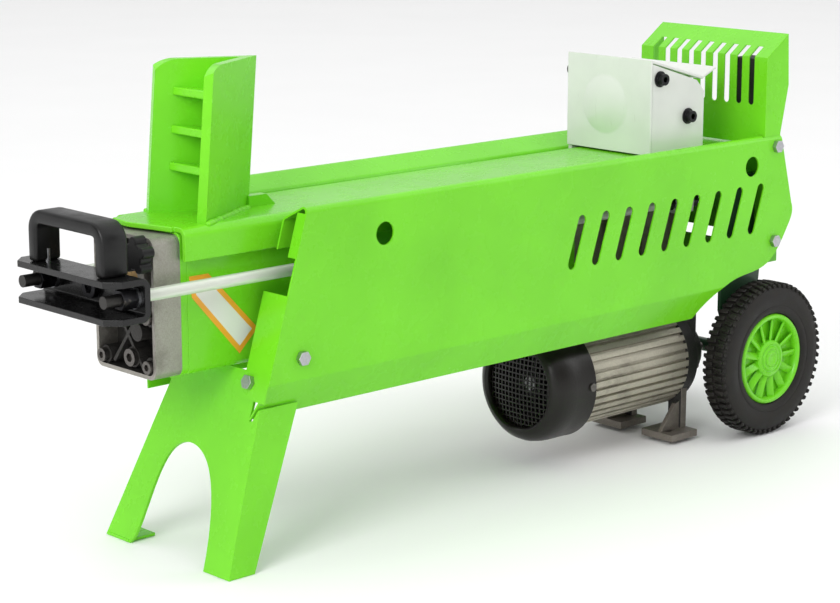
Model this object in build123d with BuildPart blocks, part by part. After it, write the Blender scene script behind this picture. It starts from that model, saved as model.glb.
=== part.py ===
from build123d import *
import math
import os

os.makedirs("parts", exist_ok=True)

# Millimetres. +X runs from the splitting wedge to the wheels, +Z is up, the ground is z = 0.

# main sizes
log_length = 520.0
stroke = 390.0
wedge_x = -272.0
wheel_r = 90.0
deck_z = 2 * wheel_r + 157.0
deck_half = 56.0
deck_t = 5.0
deck_drop = 32.0
beam_half = deck_half - deck_t - 3.5
beam_depth = 138.5
beam_wall = 4.0
beam_front = wedge_x - 113.0
beam_len = 523.0
end_plate_t = 8.0
cover_len = 31.0
panel_half = deck_half + 42.2
panel_t = 2.0
panel_skirt = 155.0
rod_y = deck_half + 9.7
rod_z = deck_z - 54.0
rod_r = 6.0
ram_rod_r = 15.0
tube_r = 35.0
tube_bore = 29.0
pusher_half = deck_half + 7.7
pusher_h = 109.0
wheel_x = wedge_x + 680.0
wheel_z = wheel_r
tyre_w = 34.0
tyre_in = 54.0
wheel_outer = 120.0
axle_r = 8.0
motor_y = -12.0
motor_z = deck_z - 245.0
motor_r = 58.0
fan_r = 66.0
hood_half = panel_half - panel_t - 0.2
sheet = 2.0

# fits
slide_gap = 0.1
turn_gap = 0.05
bolt_gap = 0.2

# derived places
beam_rear = beam_front + beam_len
deck_front = beam_front - end_plate_t
deck_rear = wedge_x + 694.0
box_top = deck_z - deck_t
box_low = deck_z - deck_t - beam_depth
pusher_x = wedge_x + log_length
lean = 0.306
leg_x = wedge_x - 57.0
leg_z = deck_z - 154.0


def leg_line(z):
    """X of the leaning front plane at height z."""
    return leg_x + lean * (z - leg_z)


# ---- beam, oil tank and deck ----
cover_spots = [
    (-beam_half + 11, box_low + 12),
    (beam_half - 11, box_low + 12),
    (beam_half - 11, box_top - 14),
    (-beam_half + 11, box_top - 79),
]
with BuildPart() as beam_box:
    with BuildSketch(Plane.YZ.offset(beam_front)):
        with Locations((0, box_low + beam_depth / 2)):
            RectangleRounded(2 * beam_half, beam_depth, 6)
    extrude(amount=beam_len)
    with BuildSketch(Plane.YZ.offset(beam_front)):
        with Locations((0, box_low + beam_depth / 2)):
            RectangleRounded(2 * beam_half - 2 * beam_wall, beam_depth - 2 * beam_wall, 2.5)
    extrude(amount=beam_len, mode=Mode.SUBTRACT)
beam_box.part.label = "beam_box"
export_step(beam_box.part, "parts/beam_box.step")

with BuildPart() as deck_channel:
    with BuildSketch(Plane.YZ.offset(deck_front)):
        with BuildLine():
            FilletPolyline(
                (-deck_half + deck_t / 2, deck_z - deck_drop),
                (-deck_half + deck_t / 2, deck_z - deck_t / 2),
                (deck_half - deck_t / 2, deck_z - deck_t / 2),
                (deck_half - deck_t / 2, deck_z - deck_drop),
                radius=7,
            )
            offset(amount=deck_t / 2, side=Side.BOTH)
        make_face()
        # square off the two lower ends
        with Locations((0, deck_z - deck_drop - 5)):
            Rectangle(4 * deck_half, 10, mode=Mode.SUBTRACT)
    extrude(amount=deck_rear - deck_front)
    # the front tongue lies on the end cover
    with BuildSketch(Plane.XY.offset(deck_z - deck_t)):
        with BuildLine():
            Polyline(
                (deck_front + 1, -40),
                (deck_front - 4, -40),
                (deck_front - 9, -20),
                (deck_front - 17, 12),
                (deck_front - 14, 40),
                (deck_front + 1, 44),
                close=True,
            )
        make_face()
    extrude(amount=deck_t)
deck_channel.part.label = "deck_channel"
export_step(deck_channel.part, "parts/deck_channel.step")

with BuildPart() as end_plates:
    with BuildSketch(Plane.YZ.offset(deck_front)):
        with Locations((0, box_low + beam_depth / 2)):
            RectangleRounded(2 * beam_half, beam_depth, 8)
        with Locations((0, rod_z)):
            Circle(tube_bore, mode=Mode.SUBTRACT)
    extrude(amount=end_plate_t)
    with BuildSketch(Plane.YZ.offset(deck_front)):
        with Locations(*cover_spots):
            Circle(4)
    extrude(amount=end_plate_t, mode=Mode.SUBTRACT)
    with BuildSketch(Plane.YZ.offset(beam_rear)):
        with Locations((0, box_low + beam_depth / 2)):
            RectangleRounded(2 * beam_half, beam_depth, 6)
    extrude(amount=end_plate_t)
end_plates.part.label = "end_plates"
export_step(end_plates.part, "parts/end_plates.step")

with BuildPart() as cylinder_tube:
    with BuildSketch(Plane.YZ.offset(beam_front)):
        with Locations((0, rod_z)):
            Circle(tube_r)
            Circle(tube_bore, mode=Mode.SUBTRACT)
    extrude(amount=beam_len)
cylinder_tube.part.label = "cylinder_tube"
export_step(cylinder_tube.part, "parts/cylinder_tube.step")

# ---- cast front cover with its gland and screws ----
cover_front = deck_front - cover_len
cover_h = beam_depth - 2.0
gland_r = 24.0
knob_y = -38.0
knob_z = deck_z - 22.0
with BuildPart() as front_cover:
    with BuildSketch(Plane.YZ.offset(cover_front)):
        with Locations((0, box_low + cover_h / 2)):
            RectangleRounded(2 * beam_half, cover_h, 9)
    extrude(amount=cover_len)
    # pocket behind the open front, then ribs and bosses put back
    with BuildSketch(Plane.YZ.offset(cover_front)):
        with Locations((0, box_low + cover_h / 2)):
            RectangleRounded(2 * beam_half - 8, cover_h - 8, 6)
    extrude(amount=cover_len - 9, mode=Mode.SUBTRACT)
    with BuildSketch(Plane.YZ.offset(cover_front)):
        with Locations((0, rod_z)):
            Circle(gland_r + 10)
    extrude(amount=cover_len)
    with BuildSketch(Plane.YZ.offset(cover_front + 3)):
        for ang in (52, -52):
            with Locations(Location((0, box_low + 38, 0), (0, 0, ang))):
                Rectangle(76, 3.5)
        with Locations((-14, box_low + 42)):
            Circle(9)
        with Locations((-8, box_low + 17)):
            Circle(10)
        with Locations(*cover_spots):
            Circle(9)
        with Locations((knob_y, knob_z)):
            Circle(9)
    extrude(amount=cover_len - 3)
    with BuildSketch(Plane.YZ.offset(cover_front)):
        with Locations((0, box_low + cover_h / 2)):
            RectangleRounded(2 * beam_half, cover_h, 9)
            RectangleRounded(2 * beam_half - 8, cover_h - 8, 6, mode=Mode.SUBTRACT)
    extrude(amount=cover_len)
    with BuildSketch(Plane.YZ.offset(cover_front)):
        with Locations((0, rod_z)):
            Circle(gland_r)
    extrude(amount=cover_len, mode=Mode.SUBTRACT)
    with BuildSketch(Plane.YZ.offset(cover_front)):
        with Locations(*cover_spots):
            Circle(4)
        with Locations((-8, box_low + 17)):
            Circle(6)
    extrude(amount=cover_len, mode=Mode.SUBTRACT)
    with BuildSketch(Plane.YZ.offset(cover_front)):
        with Locations((knob_y, knob_z)):
            Circle(4 + turn_gap)
    extrude(amount=20, mode=Mode.SUBTRACT)
front_cover.part.label = "front_cover"
export_step(front_cover.part, "parts/front_cover.step")

with BuildPart() as rod_gland:
    with BuildSketch(Plane.YZ.offset(cover_front + 6)):
        with Locations((0, rod_z)):
            Circle(gland_r)
            Circle(ram_rod_r + turn_gap, mode=Mode.SUBTRACT)
    extrude(amount=cover_len - 6)
    with BuildSketch(Plane.YZ.offset(cover_front + 1)):
        with Locations((0, rod_z)):
            Circle(gland_r - 2)
            Circle(ram_rod_r + slide_gap, mode=Mode.SUBTRACT)
    extrude(amount=5)
rod_gland.part.label = "rod_gland"
export_step(rod_gland.part, "parts/rod_gland.step")

with BuildPart() as cover_screws:
    for sy, sz in cover_spots:
        with BuildSketch(Plane.YZ.offset(cover_front - 3)):
            with Locations((sy, sz)):
                Circle(6.5)
                RegularPolygon(3, 6, major_radius=False, mode=Mode.SUBTRACT)
        extrude(amount=3.5)
        with BuildSketch(Plane.YZ.offset(cover_front + 0.5)):
            with Locations((sy, sz)):
                Circle(6.5)
        extrude(amount=2.5)
        with BuildSketch(Plane.YZ.offset(cover_front + 3)):
            with Locations((sy, sz)):
                Circle(4)
        extrude(amount=cover_len - 3 + end_plate_t)
cover_screws.part.label = "cover_screws"
export_step(cover_screws.part, "parts/cover_screws.step")

# ---- bleed knob on the cover ----
with BuildPart() as bleed_knob:
    with BuildSketch(Plane.YZ.offset(cover_front - 17)):
        with Locations((knob_y, knob_z)):
            Circle(13)
            with PolarLocations(13, 5, start_angle=90):
                Circle(5.5)
    extrude(amount=13)
    fillet(bleed_knob.faces().sort_by(Axis.X)[0].edges(), 1.5)
    with BuildSketch(Plane.YZ.offset(cover_front - 5)):
        with Locations((knob_y, knob_z)):
            Circle(4)
    extrude(amount=24)
bleed_knob.part.label = "bleed_knob"
export_step(bleed_knob.part, "parts/bleed_knob.step")

# ---- splitting wedge ----
wedge_tilt = 5.0
wedge_h = 148.0
wedge_back = 89.0
wedge_t = 9.0
vx = wedge_t / math.sin(math.atan2(beam_half, wedge_back))
tilted = Plane(
    origin=(wedge_x, 0, deck_z),
    x_dir=(math.cos(math.radians(wedge_tilt)), 0, -math.sin(math.radians(wedge_tilt))),
    z_dir=(math.sin(math.radians(wedge_tilt)), 0, math.cos(math.radians(wedge_tilt))),
)


def wedge_side(back_inset, low, high):
    # side outline of the wedge, leaning with it, cut level at the deck
    dx = math.tan(math.radians(wedge_tilt))
    pts = [
        (wedge_x + 30 + low * dx, low),
        (wedge_x + 30 + high * dx, high),
        (wedge_x - wedge_back + back_inset + high * dx, high),
        (wedge_x - wedge_back + back_inset + low * dx, low),
    ]
    return [(px, deck_z + pz) for px, pz in pts]


rib_t = 8.0
rib_heights = (34.0, 70.0, 107.0)
rib_slope = (beam_half - wedge_t) / (wedge_back + 4 - vx)
with BuildPart() as wedge_ribs:
    for h in rib_heights:
        with BuildSketch(tilted.offset(h)):
            with BuildLine():
                inner = wedge_back - 12
                half = (inner - vx) * rib_slope
                Polyline((-vx, 0), (-inner, half), (-inner, -half), close=True)
            make_face()
        extrude(amount=rib_t)
wedge_ribs.part.label = "wedge_ribs"
export_step(wedge_ribs.part, "parts/wedge_ribs.step")

with BuildPart() as wedge_plates:
    with BuildSketch(tilted.offset(-20)):
        with BuildLine():
            Polyline(
                (0, 0),
                (-wedge_back, beam_half),
                (-wedge_back - 4, beam_half - wedge_t),
                (-vx, 0),
                (-wedge_back - 4, -beam_half + wedge_t),
                (-wedge_back, -beam_half),
                close=True,
            )
        make_face()
    extrude(amount=wedge_h + 60)
    with BuildSketch(Plane.XZ):
        with BuildLine():
            Polyline(*wedge_side(-10, 0, wedge_h), close=True)
        make_face()
        near_back = sorted(wedge_side(-10, 0, wedge_h), key=lambda p: (-p[1], p[0]))[0]
        fillet(
            [v for v in vertices() if abs(v.X - near_back[0]) < 1 and v.Y > deck_z + wedge_h - 5],
            30,
        )
    extrude(amount=80, both=True, mode=Mode.INTERSECT)
    with BuildSketch(Plane.XZ):
        with BuildLine():
            Polyline(
                (wedge_x - 3, deck_z),
                (wedge_x + 30, deck_z),
                (wedge_x + 19, deck_z + 11),
                (wedge_x - 3, deck_z + 11),
                close=True,
            )
        make_face()
    extrude(amount=5, both=True)
wedge_plates.part.label = "wedge_plates"
export_step(wedge_plates.part, "parts/wedge_plates.step")

# ---- side panels ----
flange_y = deck_half + 12.2
flange_top = deck_z - 2.4
flange_low = deck_z - 30.0
fold_z = deck_z + 15.5
skirt_z = deck_z - panel_skirt
strip_y = panel_half - 16.2
strip_z = deck_z - 188.0
hood_x = wedge_x + 681.6
slot_count = 9
slot_pitch = 37.3
slot_first = wedge_x + 367.9
slot_mid_z = deck_z - 70.6
slot_len = 60.0
slot_w = 12.0
hole_r = 11.7
hole_places = [(wedge_x + 92.8, deck_z - 25.4), (wedge_x + 657.7, deck_z - 20.7)]
leg_bolt = (wedge_x - 15.6, deck_z - 133.6)
rear_bolts = [(wedge_x + 700.2, deck_z - 1.3), (wedge_x + 700.2, deck_z - 112.1)]
panel_bolt_r = 4.0
tab_bolt_y = 70.0
tab_bolt_z = deck_z - 156.0


def panel_outline():
    """Side outline of a panel, seen square on."""
    return [
        (leg_line(deck_z + 17), deck_z + 17),
        (wedge_x + 640, deck_z + 17),
        (wedge_x + 709, deck_z + 11),
        (wedge_x + 714, deck_z - 8),
        (wedge_x + 731, deck_z - 70),
    ]


def panel_sweep():
    """Points of the curved rear edge, from its lowest rear corner round to the bottom."""
    return [
        (wedge_x + 731, deck_z - 70),
        (wedge_x + 733, deck_z - 83),
        (wedge_x + 726, deck_z - 97),
        (wedge_x + 710, deck_z - 120),
        (wedge_x + 690, deck_z - 137),
        (wedge_x + 664, deck_z - 144),
        (wedge_x + 640, deck_z - 147),
        (wedge_x + 612, deck_z - 156),
        (wedge_x + 590, deck_z - 172),
        (wedge_x + 575, deck_z - 192),
    ]


def panel_profile(s):
    """Fold line across a panel, from the inner flange to the tucked-in strip."""
    m = panel_t / 2
    return [
        (s * (flange_y - m), flange_low),
        (s * (flange_y - m), flange_top),
        (s * (panel_half - m), fold_z - m),
        (s * (panel_half - m), skirt_z),
        (s * strip_y, strip_z),
    ]


def front_flange(s, y_in, z_hi, z_lo):
    """Corners of one strip of the front return flange on the leaning plane."""
    return [(s * (panel_half - 1), z_hi), (s * y_in, z_hi), (s * y_in, z_lo), (s * (panel_half - 1), z_lo)]


lean_angle = math.degrees(math.atan(lean))
lean_len = math.sqrt(1 + lean * lean)
lean_plane = Plane(
    origin=(leg_x, 0, leg_z),
    x_dir=(0, 1, 0),
    z_dir=(1 / lean_len, 0, -lean / lean_len),
)


def on_lean(y, z):
    """Sketch point on the leaning plane for a given side distance and height."""
    return (y, (z - leg_z) * lean_len)


with BuildPart() as side_panel_near:
    with BuildSketch(Plane.YZ.offset(wedge_x - 90)):
        with BuildLine():
            FilletPolyline(*panel_profile(-1), radius=5)
            offset(amount=panel_t / 2, side=Side.BOTH)
        make_face()
    extrude(amount=840)
    with BuildSketch(Plane.XZ):
        with BuildLine():
            Polyline(*panel_outline())
            Spline(*panel_sweep())
            Polyline(panel_sweep()[-1], (leg_line(deck_z - 192), deck_z - 192), panel_outline()[0])
        make_face()
    extrude(amount=120, both=True, mode=Mode.INTERSECT)
    # the slope and inner flange stop short of the hood
    with BuildSketch(Plane.XY.offset(deck_z - 40)):
        with Locations((hood_x - 3 + 40, -panel_half + 45 + panel_t)):
            Rectangle(80, 90)
    extrude(amount=80, mode=Mode.SUBTRACT)
    # front return flange in two strips, open between them for the tie rod
    with BuildSketch(lean_plane):
        for y_in, z_hi, z_lo in ((85, deck_z + 6, deck_z - 36), (61, deck_z - 71, deck_z - 172)):
            with BuildLine():
                Polyline(*[on_lean(py, pz) for py, pz in front_flange(-1, y_in, z_hi, z_lo)], close=True)
            make_face()
    extrude(amount=panel_t)
    with BuildSketch(Plane.XZ.offset(panel_half - 10)):
        for i in range(slot_count):
            with Locations(Location((slot_first + i * slot_pitch, slot_mid_z, 0), (0, 0, 71.5))):
                SlotOverall(slot_len, slot_w)
        for px, pz in hole_places:
            with Locations((px, pz)):
                Circle(hole_r)
        for px, pz in rear_bolts + [leg_bolt]:
            with Locations((px, pz)):
                Circle(panel_bolt_r + bolt_gap)
    extrude(amount=20, mode=Mode.SUBTRACT)
    with BuildSketch(lean_plane):
        with Locations(on_lean(-tab_bolt_y, tab_bolt_z)):
            Circle(panel_bolt_r + bolt_gap)
    extrude(amount=10, both=True, mode=Mode.SUBTRACT)
side_panel_near.part.label = "side_panel_near"
export_step(side_panel_near.part, "parts/side_panel_near.step")

with BuildPart() as side_panel_far:
    add(mirror(side_panel_near.part, about=Plane.XZ))
side_panel_far.part.label = "side_panel_far"
export_step(side_panel_far.part, "parts/side_panel_far.step")

# ---- front leg ----
leg_t = 3.0
foot_half = 100.0
foot_in = 60.0
leg_top = box_low - 2.5
notch_z = deck_z - 191.0
leg_face = lean_plane.offset(panel_t)
near_top = 90.5
wall_top = deck_z - 179.0
arch = [(36, 82.0), (18, 106.0), (0, 111.0), (-20, 106.0), (-41, 84.0)]
with BuildPart() as front_leg:
    # side flange, leaning in towards the top
    with BuildSketch(Plane.YZ.offset(leg_line(0))):
        with BuildLine():
            Polyline(
                (-foot_half, 0),
                (-foot_half + leg_t, 0),
                (-near_top + 2.2, wall_top),
                (-near_top, wall_top),
                close=True,
            )
        make_face()
    extrude(amount=140)
    with BuildSketch(Plane.XZ):
        with BuildLine():
            Polyline(
                (leg_line(0) + 3, 0),
                (leg_line(0) + 34, 0),
                (leg_line(wall_top) + 50, wall_top),
                (leg_line(wall_top) + 3, wall_top),
                close=True,
            )
        make_face()
    extrude(amount=120, both=True, mode=Mode.INTERSECT)
    # leaning front with its arch
    with BuildSketch(leg_face):
        with BuildLine():
            Polyline(
                on_lean(-foot_in, 0.6),
                on_lean(-foot_half, 0.6),
                on_lean(-near_top, wall_top),
                on_lean(-near_top + 2.2, wall_top),
                on_lean(-strip_y - 1.6, notch_z + 1),
                on_lean(-79, notch_z),
                on_lean(-79, leg_top),
                on_lean(79, leg_top),
                on_lean(79, deck_z - 163),
                on_lean(51, deck_z - 174),
                on_lean(foot_half, 0.6),
                on_lean(foot_in, 0.6),
            )
            Spline(*[on_lean(ay, az) for ay, az in [(foot_in, 0.6)] + arch + [(-foot_in, 0.6)]])
        make_face()
        for s in (-1, 1):
            with Locations(on_lean(s * tab_bolt_y, tab_bolt_z)):
                Circle(panel_bolt_r + bolt_gap, mode=Mode.SUBTRACT)
    extrude(amount=leg_t)
    # foot tab under the far foot
    with BuildSketch(Plane.XY):
        with Locations((leg_line(0) + 18.5, (foot_half + foot_in) / 2)):
            Rectangle(33, foot_half - foot_in - 4)
    extrude(amount=leg_t)
front_leg.part.label = "front_leg"
export_step(front_leg.part, "parts/front_leg.step")

# ---- bolts that hold the panels ----
head_h = 5.5
with BuildPart() as panel_bolts:
    for s in (-1, 1):
        for k, (px, pz) in enumerate([leg_bolt] + rear_bolts):
            nut_y = panel_half - panel_t if k == 0 else panel_half - panel_t - 2 * sheet - 1.2
            with BuildSketch(Plane.XZ.offset(-s * panel_half)):
                with Locations((px, pz)):
                    RegularPolygon(6.5, 6, major_radius=False)
            extrude(amount=-s * head_h)
            with BuildSketch(Plane.XZ.offset(-s * panel_half)):
                with Locations((px, pz)):
                    Circle(panel_bolt_r)
            extrude(amount=s * 17)
            with BuildSketch(Plane.XZ.offset(-s * nut_y)):
                with Locations((px, pz)):
                    RegularPolygon(6.5, 6, major_radius=False)
            extrude(amount=s * 6.5)
    for s in (-1, 1):
        with BuildSketch(lean_plane):
            with Locations(on_lean(s * tab_bolt_y, tab_bolt_z)):
                RegularPolygon(6.5, 6, major_radius=False)
        extrude(amount=-head_h)
        with BuildSketch(lean_plane):
            with Locations(on_lean(s * tab_bolt_y, tab_bolt_z)):
                Circle(panel_bolt_r)
        extrude(amount=18)
        with BuildSketch(leg_face.offset(leg_t)):
            with Locations(on_lean(s * tab_bolt_y, tab_bolt_z)):
                RegularPolygon(6.5, 6, major_radius=False)
        extrude(amount=6.5)
panel_bolts.part.label = "panel_bolts"
export_step(panel_bolts.part, "parts/panel_bolts.step")

# ---- hood, rear frame, axle ----
hood_bend_z = deck_z + 101.7
hood_back_x = wedge_x + 719.0
hood_back_z = deck_z + 127.0
hood_slots = 9
hood_pitch = 18.3
hood_low = deck_z + 1.5
with BuildPart() as guard_hood:
    with BuildSketch(Plane.XZ):
        with BuildLine():
            Polyline(
                (hood_x, hood_low),
                (hood_x, hood_bend_z),
                (hood_back_x, hood_back_z),
                (hood_back_x + 3, deck_z + 68),
                (hood_x + 28, deck_z + 13),
                (hood_x + 28, deck_z - 12),
                (hood_x + 8, deck_z - 12),
                (hood_x + 8, hood_low),
                close=True,
            )
        make_face()
    extrude(amount=hood_half, both=True)
    # hollow: leave the front, the sloping top and the two sides
    with BuildSketch(Plane.XZ):
        with BuildLine():
            Polyline(
                (hood_x + sheet, deck_z - 40),
                (hood_x + sheet, hood_bend_z - 1.2),
                (hood_back_x + 20, hood_back_z + 11.2),
                (hood_back_x + 20, deck_z - 40),
                close=True,
            )
        make_face()
    extrude(amount=hood_half - sheet, both=True, mode=Mode.SUBTRACT)
    with BuildSketch(Plane.YZ.offset(hood_x - 5)):
        for i in range(hood_slots):
            with Locations(((i - (hood_slots - 1) / 2) * hood_pitch, deck_z + 95)):
                SlotOverall(98, 8, rotation=90)
        with Locations((0, deck_z + 145)):
            Rectangle(2 * hood_half, 66, mode=Mode.SUBTRACT)
    extrude(amount=50, mode=Mode.SUBTRACT)
    with BuildSketch(Plane.XZ):
        with Locations(rear_bolts[0]):
            Circle(panel_bolt_r + bolt_gap)
    extrude(amount=hood_half + 5, both=True, mode=Mode.SUBTRACT)
guard_hood.part.label = "guard_hood"
export_step(guard_hood.part, "parts/guard_hood.step")

flange_in = hood_half - sheet
with BuildPart() as rear_frame:
    with BuildSketch(Plane.YZ.offset(deck_rear)):
        with Locations((0, deck_z - 70)):
            Rectangle(2 * flange_in, 136)
        # way through for the control lever
        with Locations((25, deck_z - 36)):
            SlotOverall(60, 14, rotation=90, mode=Mode.SUBTRACT)
    extrude(amount=3)
    for s in (-1, 1):
        with BuildSketch(Plane.YZ.offset(deck_rear)):
            with Locations((s * (flange_in - 1.5), deck_z - 64)):
                Rectangle(3, 148)
        extrude(amount=18)
    with BuildSketch(Plane.XZ):
        for px, pz in rear_bolts:
            with Locations((px, pz)):
                Circle(panel_bolt_r + bolt_gap)
    extrude(amount=hood_half + 5, both=True, mode=Mode.SUBTRACT)
    # room for the nuts inside the corners
    with BuildSketch(Plane.XZ):
        with Locations(*rear_bolts):
            Circle(8.5)
    extrude(amount=flange_in - 3, both=True, mode=Mode.SUBTRACT)
    # tabs under the deck edges
    for s in (-1, 1):
        with BuildSketch(Plane.XY.offset(deck_z - deck_drop - 6)):
            with Locations((deck_rear - 27, s * 58)):
                Rectangle(54, 2 * (70 - 58))
        extrude(amount=6)
rear_frame.part.label = "rear_frame"
export_step(rear_frame.part, "parts/rear_frame.step")

bracket_in = 70.0
with BuildPart() as axle_brackets:
    with BuildSketch(Plane.XZ):
        with BuildLine():
            Polyline(
                (wedge_x + 636, deck_z - 34),
                (deck_rear, deck_z - 34),
                (deck_rear, deck_z - 139),
                (wheel_x + 26, deck_z - 150),
                (wheel_x + 14, wheel_z - 14),
                (wheel_x - 14, wheel_z - 14),
                (wedge_x + 636, deck_z - 190),
                close=True,
            )
        make_face()
        with Locations((wheel_x, wheel_z)):
            Circle(axle_r, mode=Mode.SUBTRACT)
    extrude(amount=bracket_in + 4, both=True)
    with BuildSketch(Plane.XZ):
        with Locations((wheel_x, deck_z - 120)):
            Rectangle(300, 400)
    extrude(amount=bracket_in, both=True, mode=Mode.SUBTRACT)
axle_brackets.part.label = "axle_brackets"
export_step(axle_brackets.part, "parts/axle_brackets.step")

clip_y = wheel_outer - 8.0
with BuildPart() as axle:
    with BuildSketch(Plane.XZ):
        with Locations((wheel_x, wheel_z)):
            Circle(axle_r)
    extrude(amount=clip_y + 3, both=True)
axle.part.label = "axle"
export_step(axle.part, "parts/axle.step")

wheel_in = wheel_outer - tyre_w
with BuildPart() as axle_washers:
    for s in (-1, 1):
        with BuildSketch(Plane.XZ.offset(-s * (bracket_in + 4))):
            with Locations((wheel_x, wheel_z)):
                Circle(13)
                Circle(axle_r, mode=Mode.SUBTRACT)
        extrude(amount=-s * (wheel_in + 1.7 - bracket_in - 4))
        with BuildSketch(Plane.XZ.offset(-s * clip_y)):
            with Locations((wheel_x, wheel_z)):
                Circle(11)
                Circle(axle_r, mode=Mode.SUBTRACT)
        extrude(amount=-s * 1.5)
axle_washers.part.label = "axle_washers"
export_step(axle_washers.part, "parts/axle_washers.step")

with BuildPart() as tyre_near:
    with BuildSketch(Plane.YZ.offset(wheel_x)):
        with Locations((-wheel_outer + tyre_w / 2, wheel_z + (wheel_r + tyre_in) / 2)):
            RectangleRounded(tyre_w, wheel_r - tyre_in, 7)
        with Locations((-wheel_outer + tyre_w / 2, wheel_z + tyre_in + 4)):
            Rectangle(tyre_w - 6, 8)
    revolve(axis=Axis((wheel_x, 0, wheel_z), (0, 1, 0)))
tyre_near.part.label = "tyre_near"
export_step(tyre_near.part, "parts/tyre_near.step")

blades = 14
boss_end = clip_y - 0.3
with BuildPart() as hub_near:
    with BuildSketch(Plane.XZ.offset(wheel_in + 2)):
        with Locations((wheel_x, wheel_z)):
            Circle(tyre_in)
            Circle(tyre_in - 5, mode=Mode.SUBTRACT)
    extrude(amount=tyre_w - 8)
    with BuildSketch(Plane.XZ.offset(wheel_in + 2)):
        with Locations((wheel_x, wheel_z)):
            Circle(17)
    extrude(amount=boss_end - wheel_in - 2)
    with BuildSketch(Plane.XZ.offset(wheel_outer - 14)):
        with Locations((wheel_x, wheel_z)):
            Circle(tyre_in)
    extrude(amount=4)
    with BuildSketch(Plane.XZ.offset(wheel_outer - 14)):
        with Locations((wheel_x, wheel_z)):
            with PolarLocations(35, blades):
                SlotOverall(24, 8)
    extrude(amount=4, mode=Mode.SUBTRACT)
    with BuildSketch(Plane.XZ.offset(wheel_in)):
        with Locations((wheel_x, wheel_z)):
            Circle(axle_r + turn_gap)
    extrude(amount=60, mode=Mode.SUBTRACT)
    with BuildSketch(Plane.XZ.offset(boss_end)):
        with Locations((wheel_x, wheel_z)):
            Circle(17)
            Circle(13, mode=Mode.SUBTRACT)
    extrude(amount=wheel_outer - 2 - boss_end)
    with BuildSketch(Plane.XZ.offset(wheel_outer - 3)):
        with Locations((wheel_x, wheel_z)):
            Circle(22)
    extrude(amount=4, taper=12)
hub_near.part.label = "hub_near"
export_step(hub_near.part, "parts/hub_near.step")

with BuildPart() as tyre_far:
    add(mirror(tyre_near.part, about=Plane.XZ))
tyre_far.part.label = "tyre_far"
export_step(tyre_far.part, "parts/tyre_far.step")

with BuildPart() as hub_far:
    add(mirror(hub_near.part, about=Plane.XZ))
hub_far.part.label = "hub_far"
export_step(hub_far.part, "parts/hub_far.step")

# ---- ram: piston, rod, crosshead, tie rods, pusher ----
piston_x = wedge_x + 355.0
piston_w = 34.0
web_rear = wedge_x - 181.0
web_t = 6.0
cross_half = 82.0
cross_front = wedge_x - 225.0
cross_top = deck_z - 34.0
cross_low = deck_z - 75.0
flange_t = 6.0
with BuildPart() as piston:
    with BuildSketch(Plane.YZ.offset(piston_x)):
        with Locations((0, rod_z)):
            Circle(tube_bore - 0.6)
            Circle(ram_rod_r - 3, mode=Mode.SUBTRACT)
    extrude(amount=piston_w)
    for gx in (7, 22):
        with BuildSketch(Plane.YZ.offset(piston_x + gx)):
            with Locations((0, rod_z)):
                Circle(tube_bore)
                Circle(tube_bore - 4, mode=Mode.SUBTRACT)
        extrude(amount=5, mode=Mode.SUBTRACT)
piston.part.label = "piston"
export_step(piston.part, "parts/piston.step")

with BuildPart() as piston_seals:
    for gx in (7, 22):
        with BuildSketch(Plane.YZ.offset(piston_x + gx)):
            with Locations((0, rod_z)):
                Circle(tube_bore - turn_gap)
                Circle(tube_bore - 4, mode=Mode.SUBTRACT)
        extrude(amount=5)
piston_seals.part.label = "piston_seals"
export_step(piston_seals.part, "parts/piston_seals.step")

with BuildPart() as piston_rod:
    with BuildSketch(Plane.YZ.offset(web_rear)):
        with Locations((0, rod_z)):
            Circle(ram_rod_r)
    extrude(amount=piston_x - web_rear)
    with BuildSketch(Plane.YZ.offset(web_rear - web_t)):
        with Locations((0, rod_z)):
            Circle(8)
    extrude(amount=web_t)
    with BuildSketch(Plane.YZ.offset(piston_x)):
        with Locations((0, rod_z)):
            Circle(ram_rod_r - 3)
    extrude(amount=piston_w)
piston_rod.part.label = "piston_rod"
export_step(piston_rod.part, "parts/piston_rod.step")

with BuildPart() as crosshead:
    with BuildSketch(Plane.XZ):
        with BuildLine():
            FilletPolyline(
                (cross_front, cross_top - flange_t / 2),
                (web_rear - web_t / 2, cross_top - flange_t / 2),
                (web_rear - web_t / 2, cross_low + flange_t / 2),
                (cross_front, cross_low + flange_t / 2),
                radius=6,
            )
            offset(amount=web_t / 2, side=Side.BOTH)
        make_face()
        with Locations((cross_front - 5, (cross_top + cross_low) / 2)):
            Rectangle(10, 80, mode=Mode.SUBTRACT)
    extrude(amount=cross_half, both=True)
    # clipped front corners
    with BuildSketch(Plane.XY.offset(cross_low - 5)):
        for s in (-1, 1):
            with BuildLine():
                Polyline(
                    (cross_front - 1, s * (cross_half - 14)),
                    (cross_front - 1, s * (cross_half + 1)),
                    (cross_front + 14, s * (cross_half + 1)),
                    close=True,
                )
            make_face()
    extrude(amount=60, mode=Mode.SUBTRACT)
    with BuildSketch(Plane.YZ.offset(cross_front)):
        for s in (-1, 1):
            with Locations((s * rod_y, rod_z)):
                Circle(rod_r + bolt_gap)
        with Locations((0, rod_z)):
            Circle(8)
    extrude(amount=60, mode=Mode.SUBTRACT)
    with BuildSketch(Plane.XY.offset(cross_top - flange_t - 2)):
        for s in (-1, 1):
            with Locations((cross_front + 21.5, s * 50)):
                Circle(3)
    extrude(amount=20, mode=Mode.SUBTRACT)
crosshead.part.label = "crosshead"
export_step(crosshead.part, "parts/crosshead.step")

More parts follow.
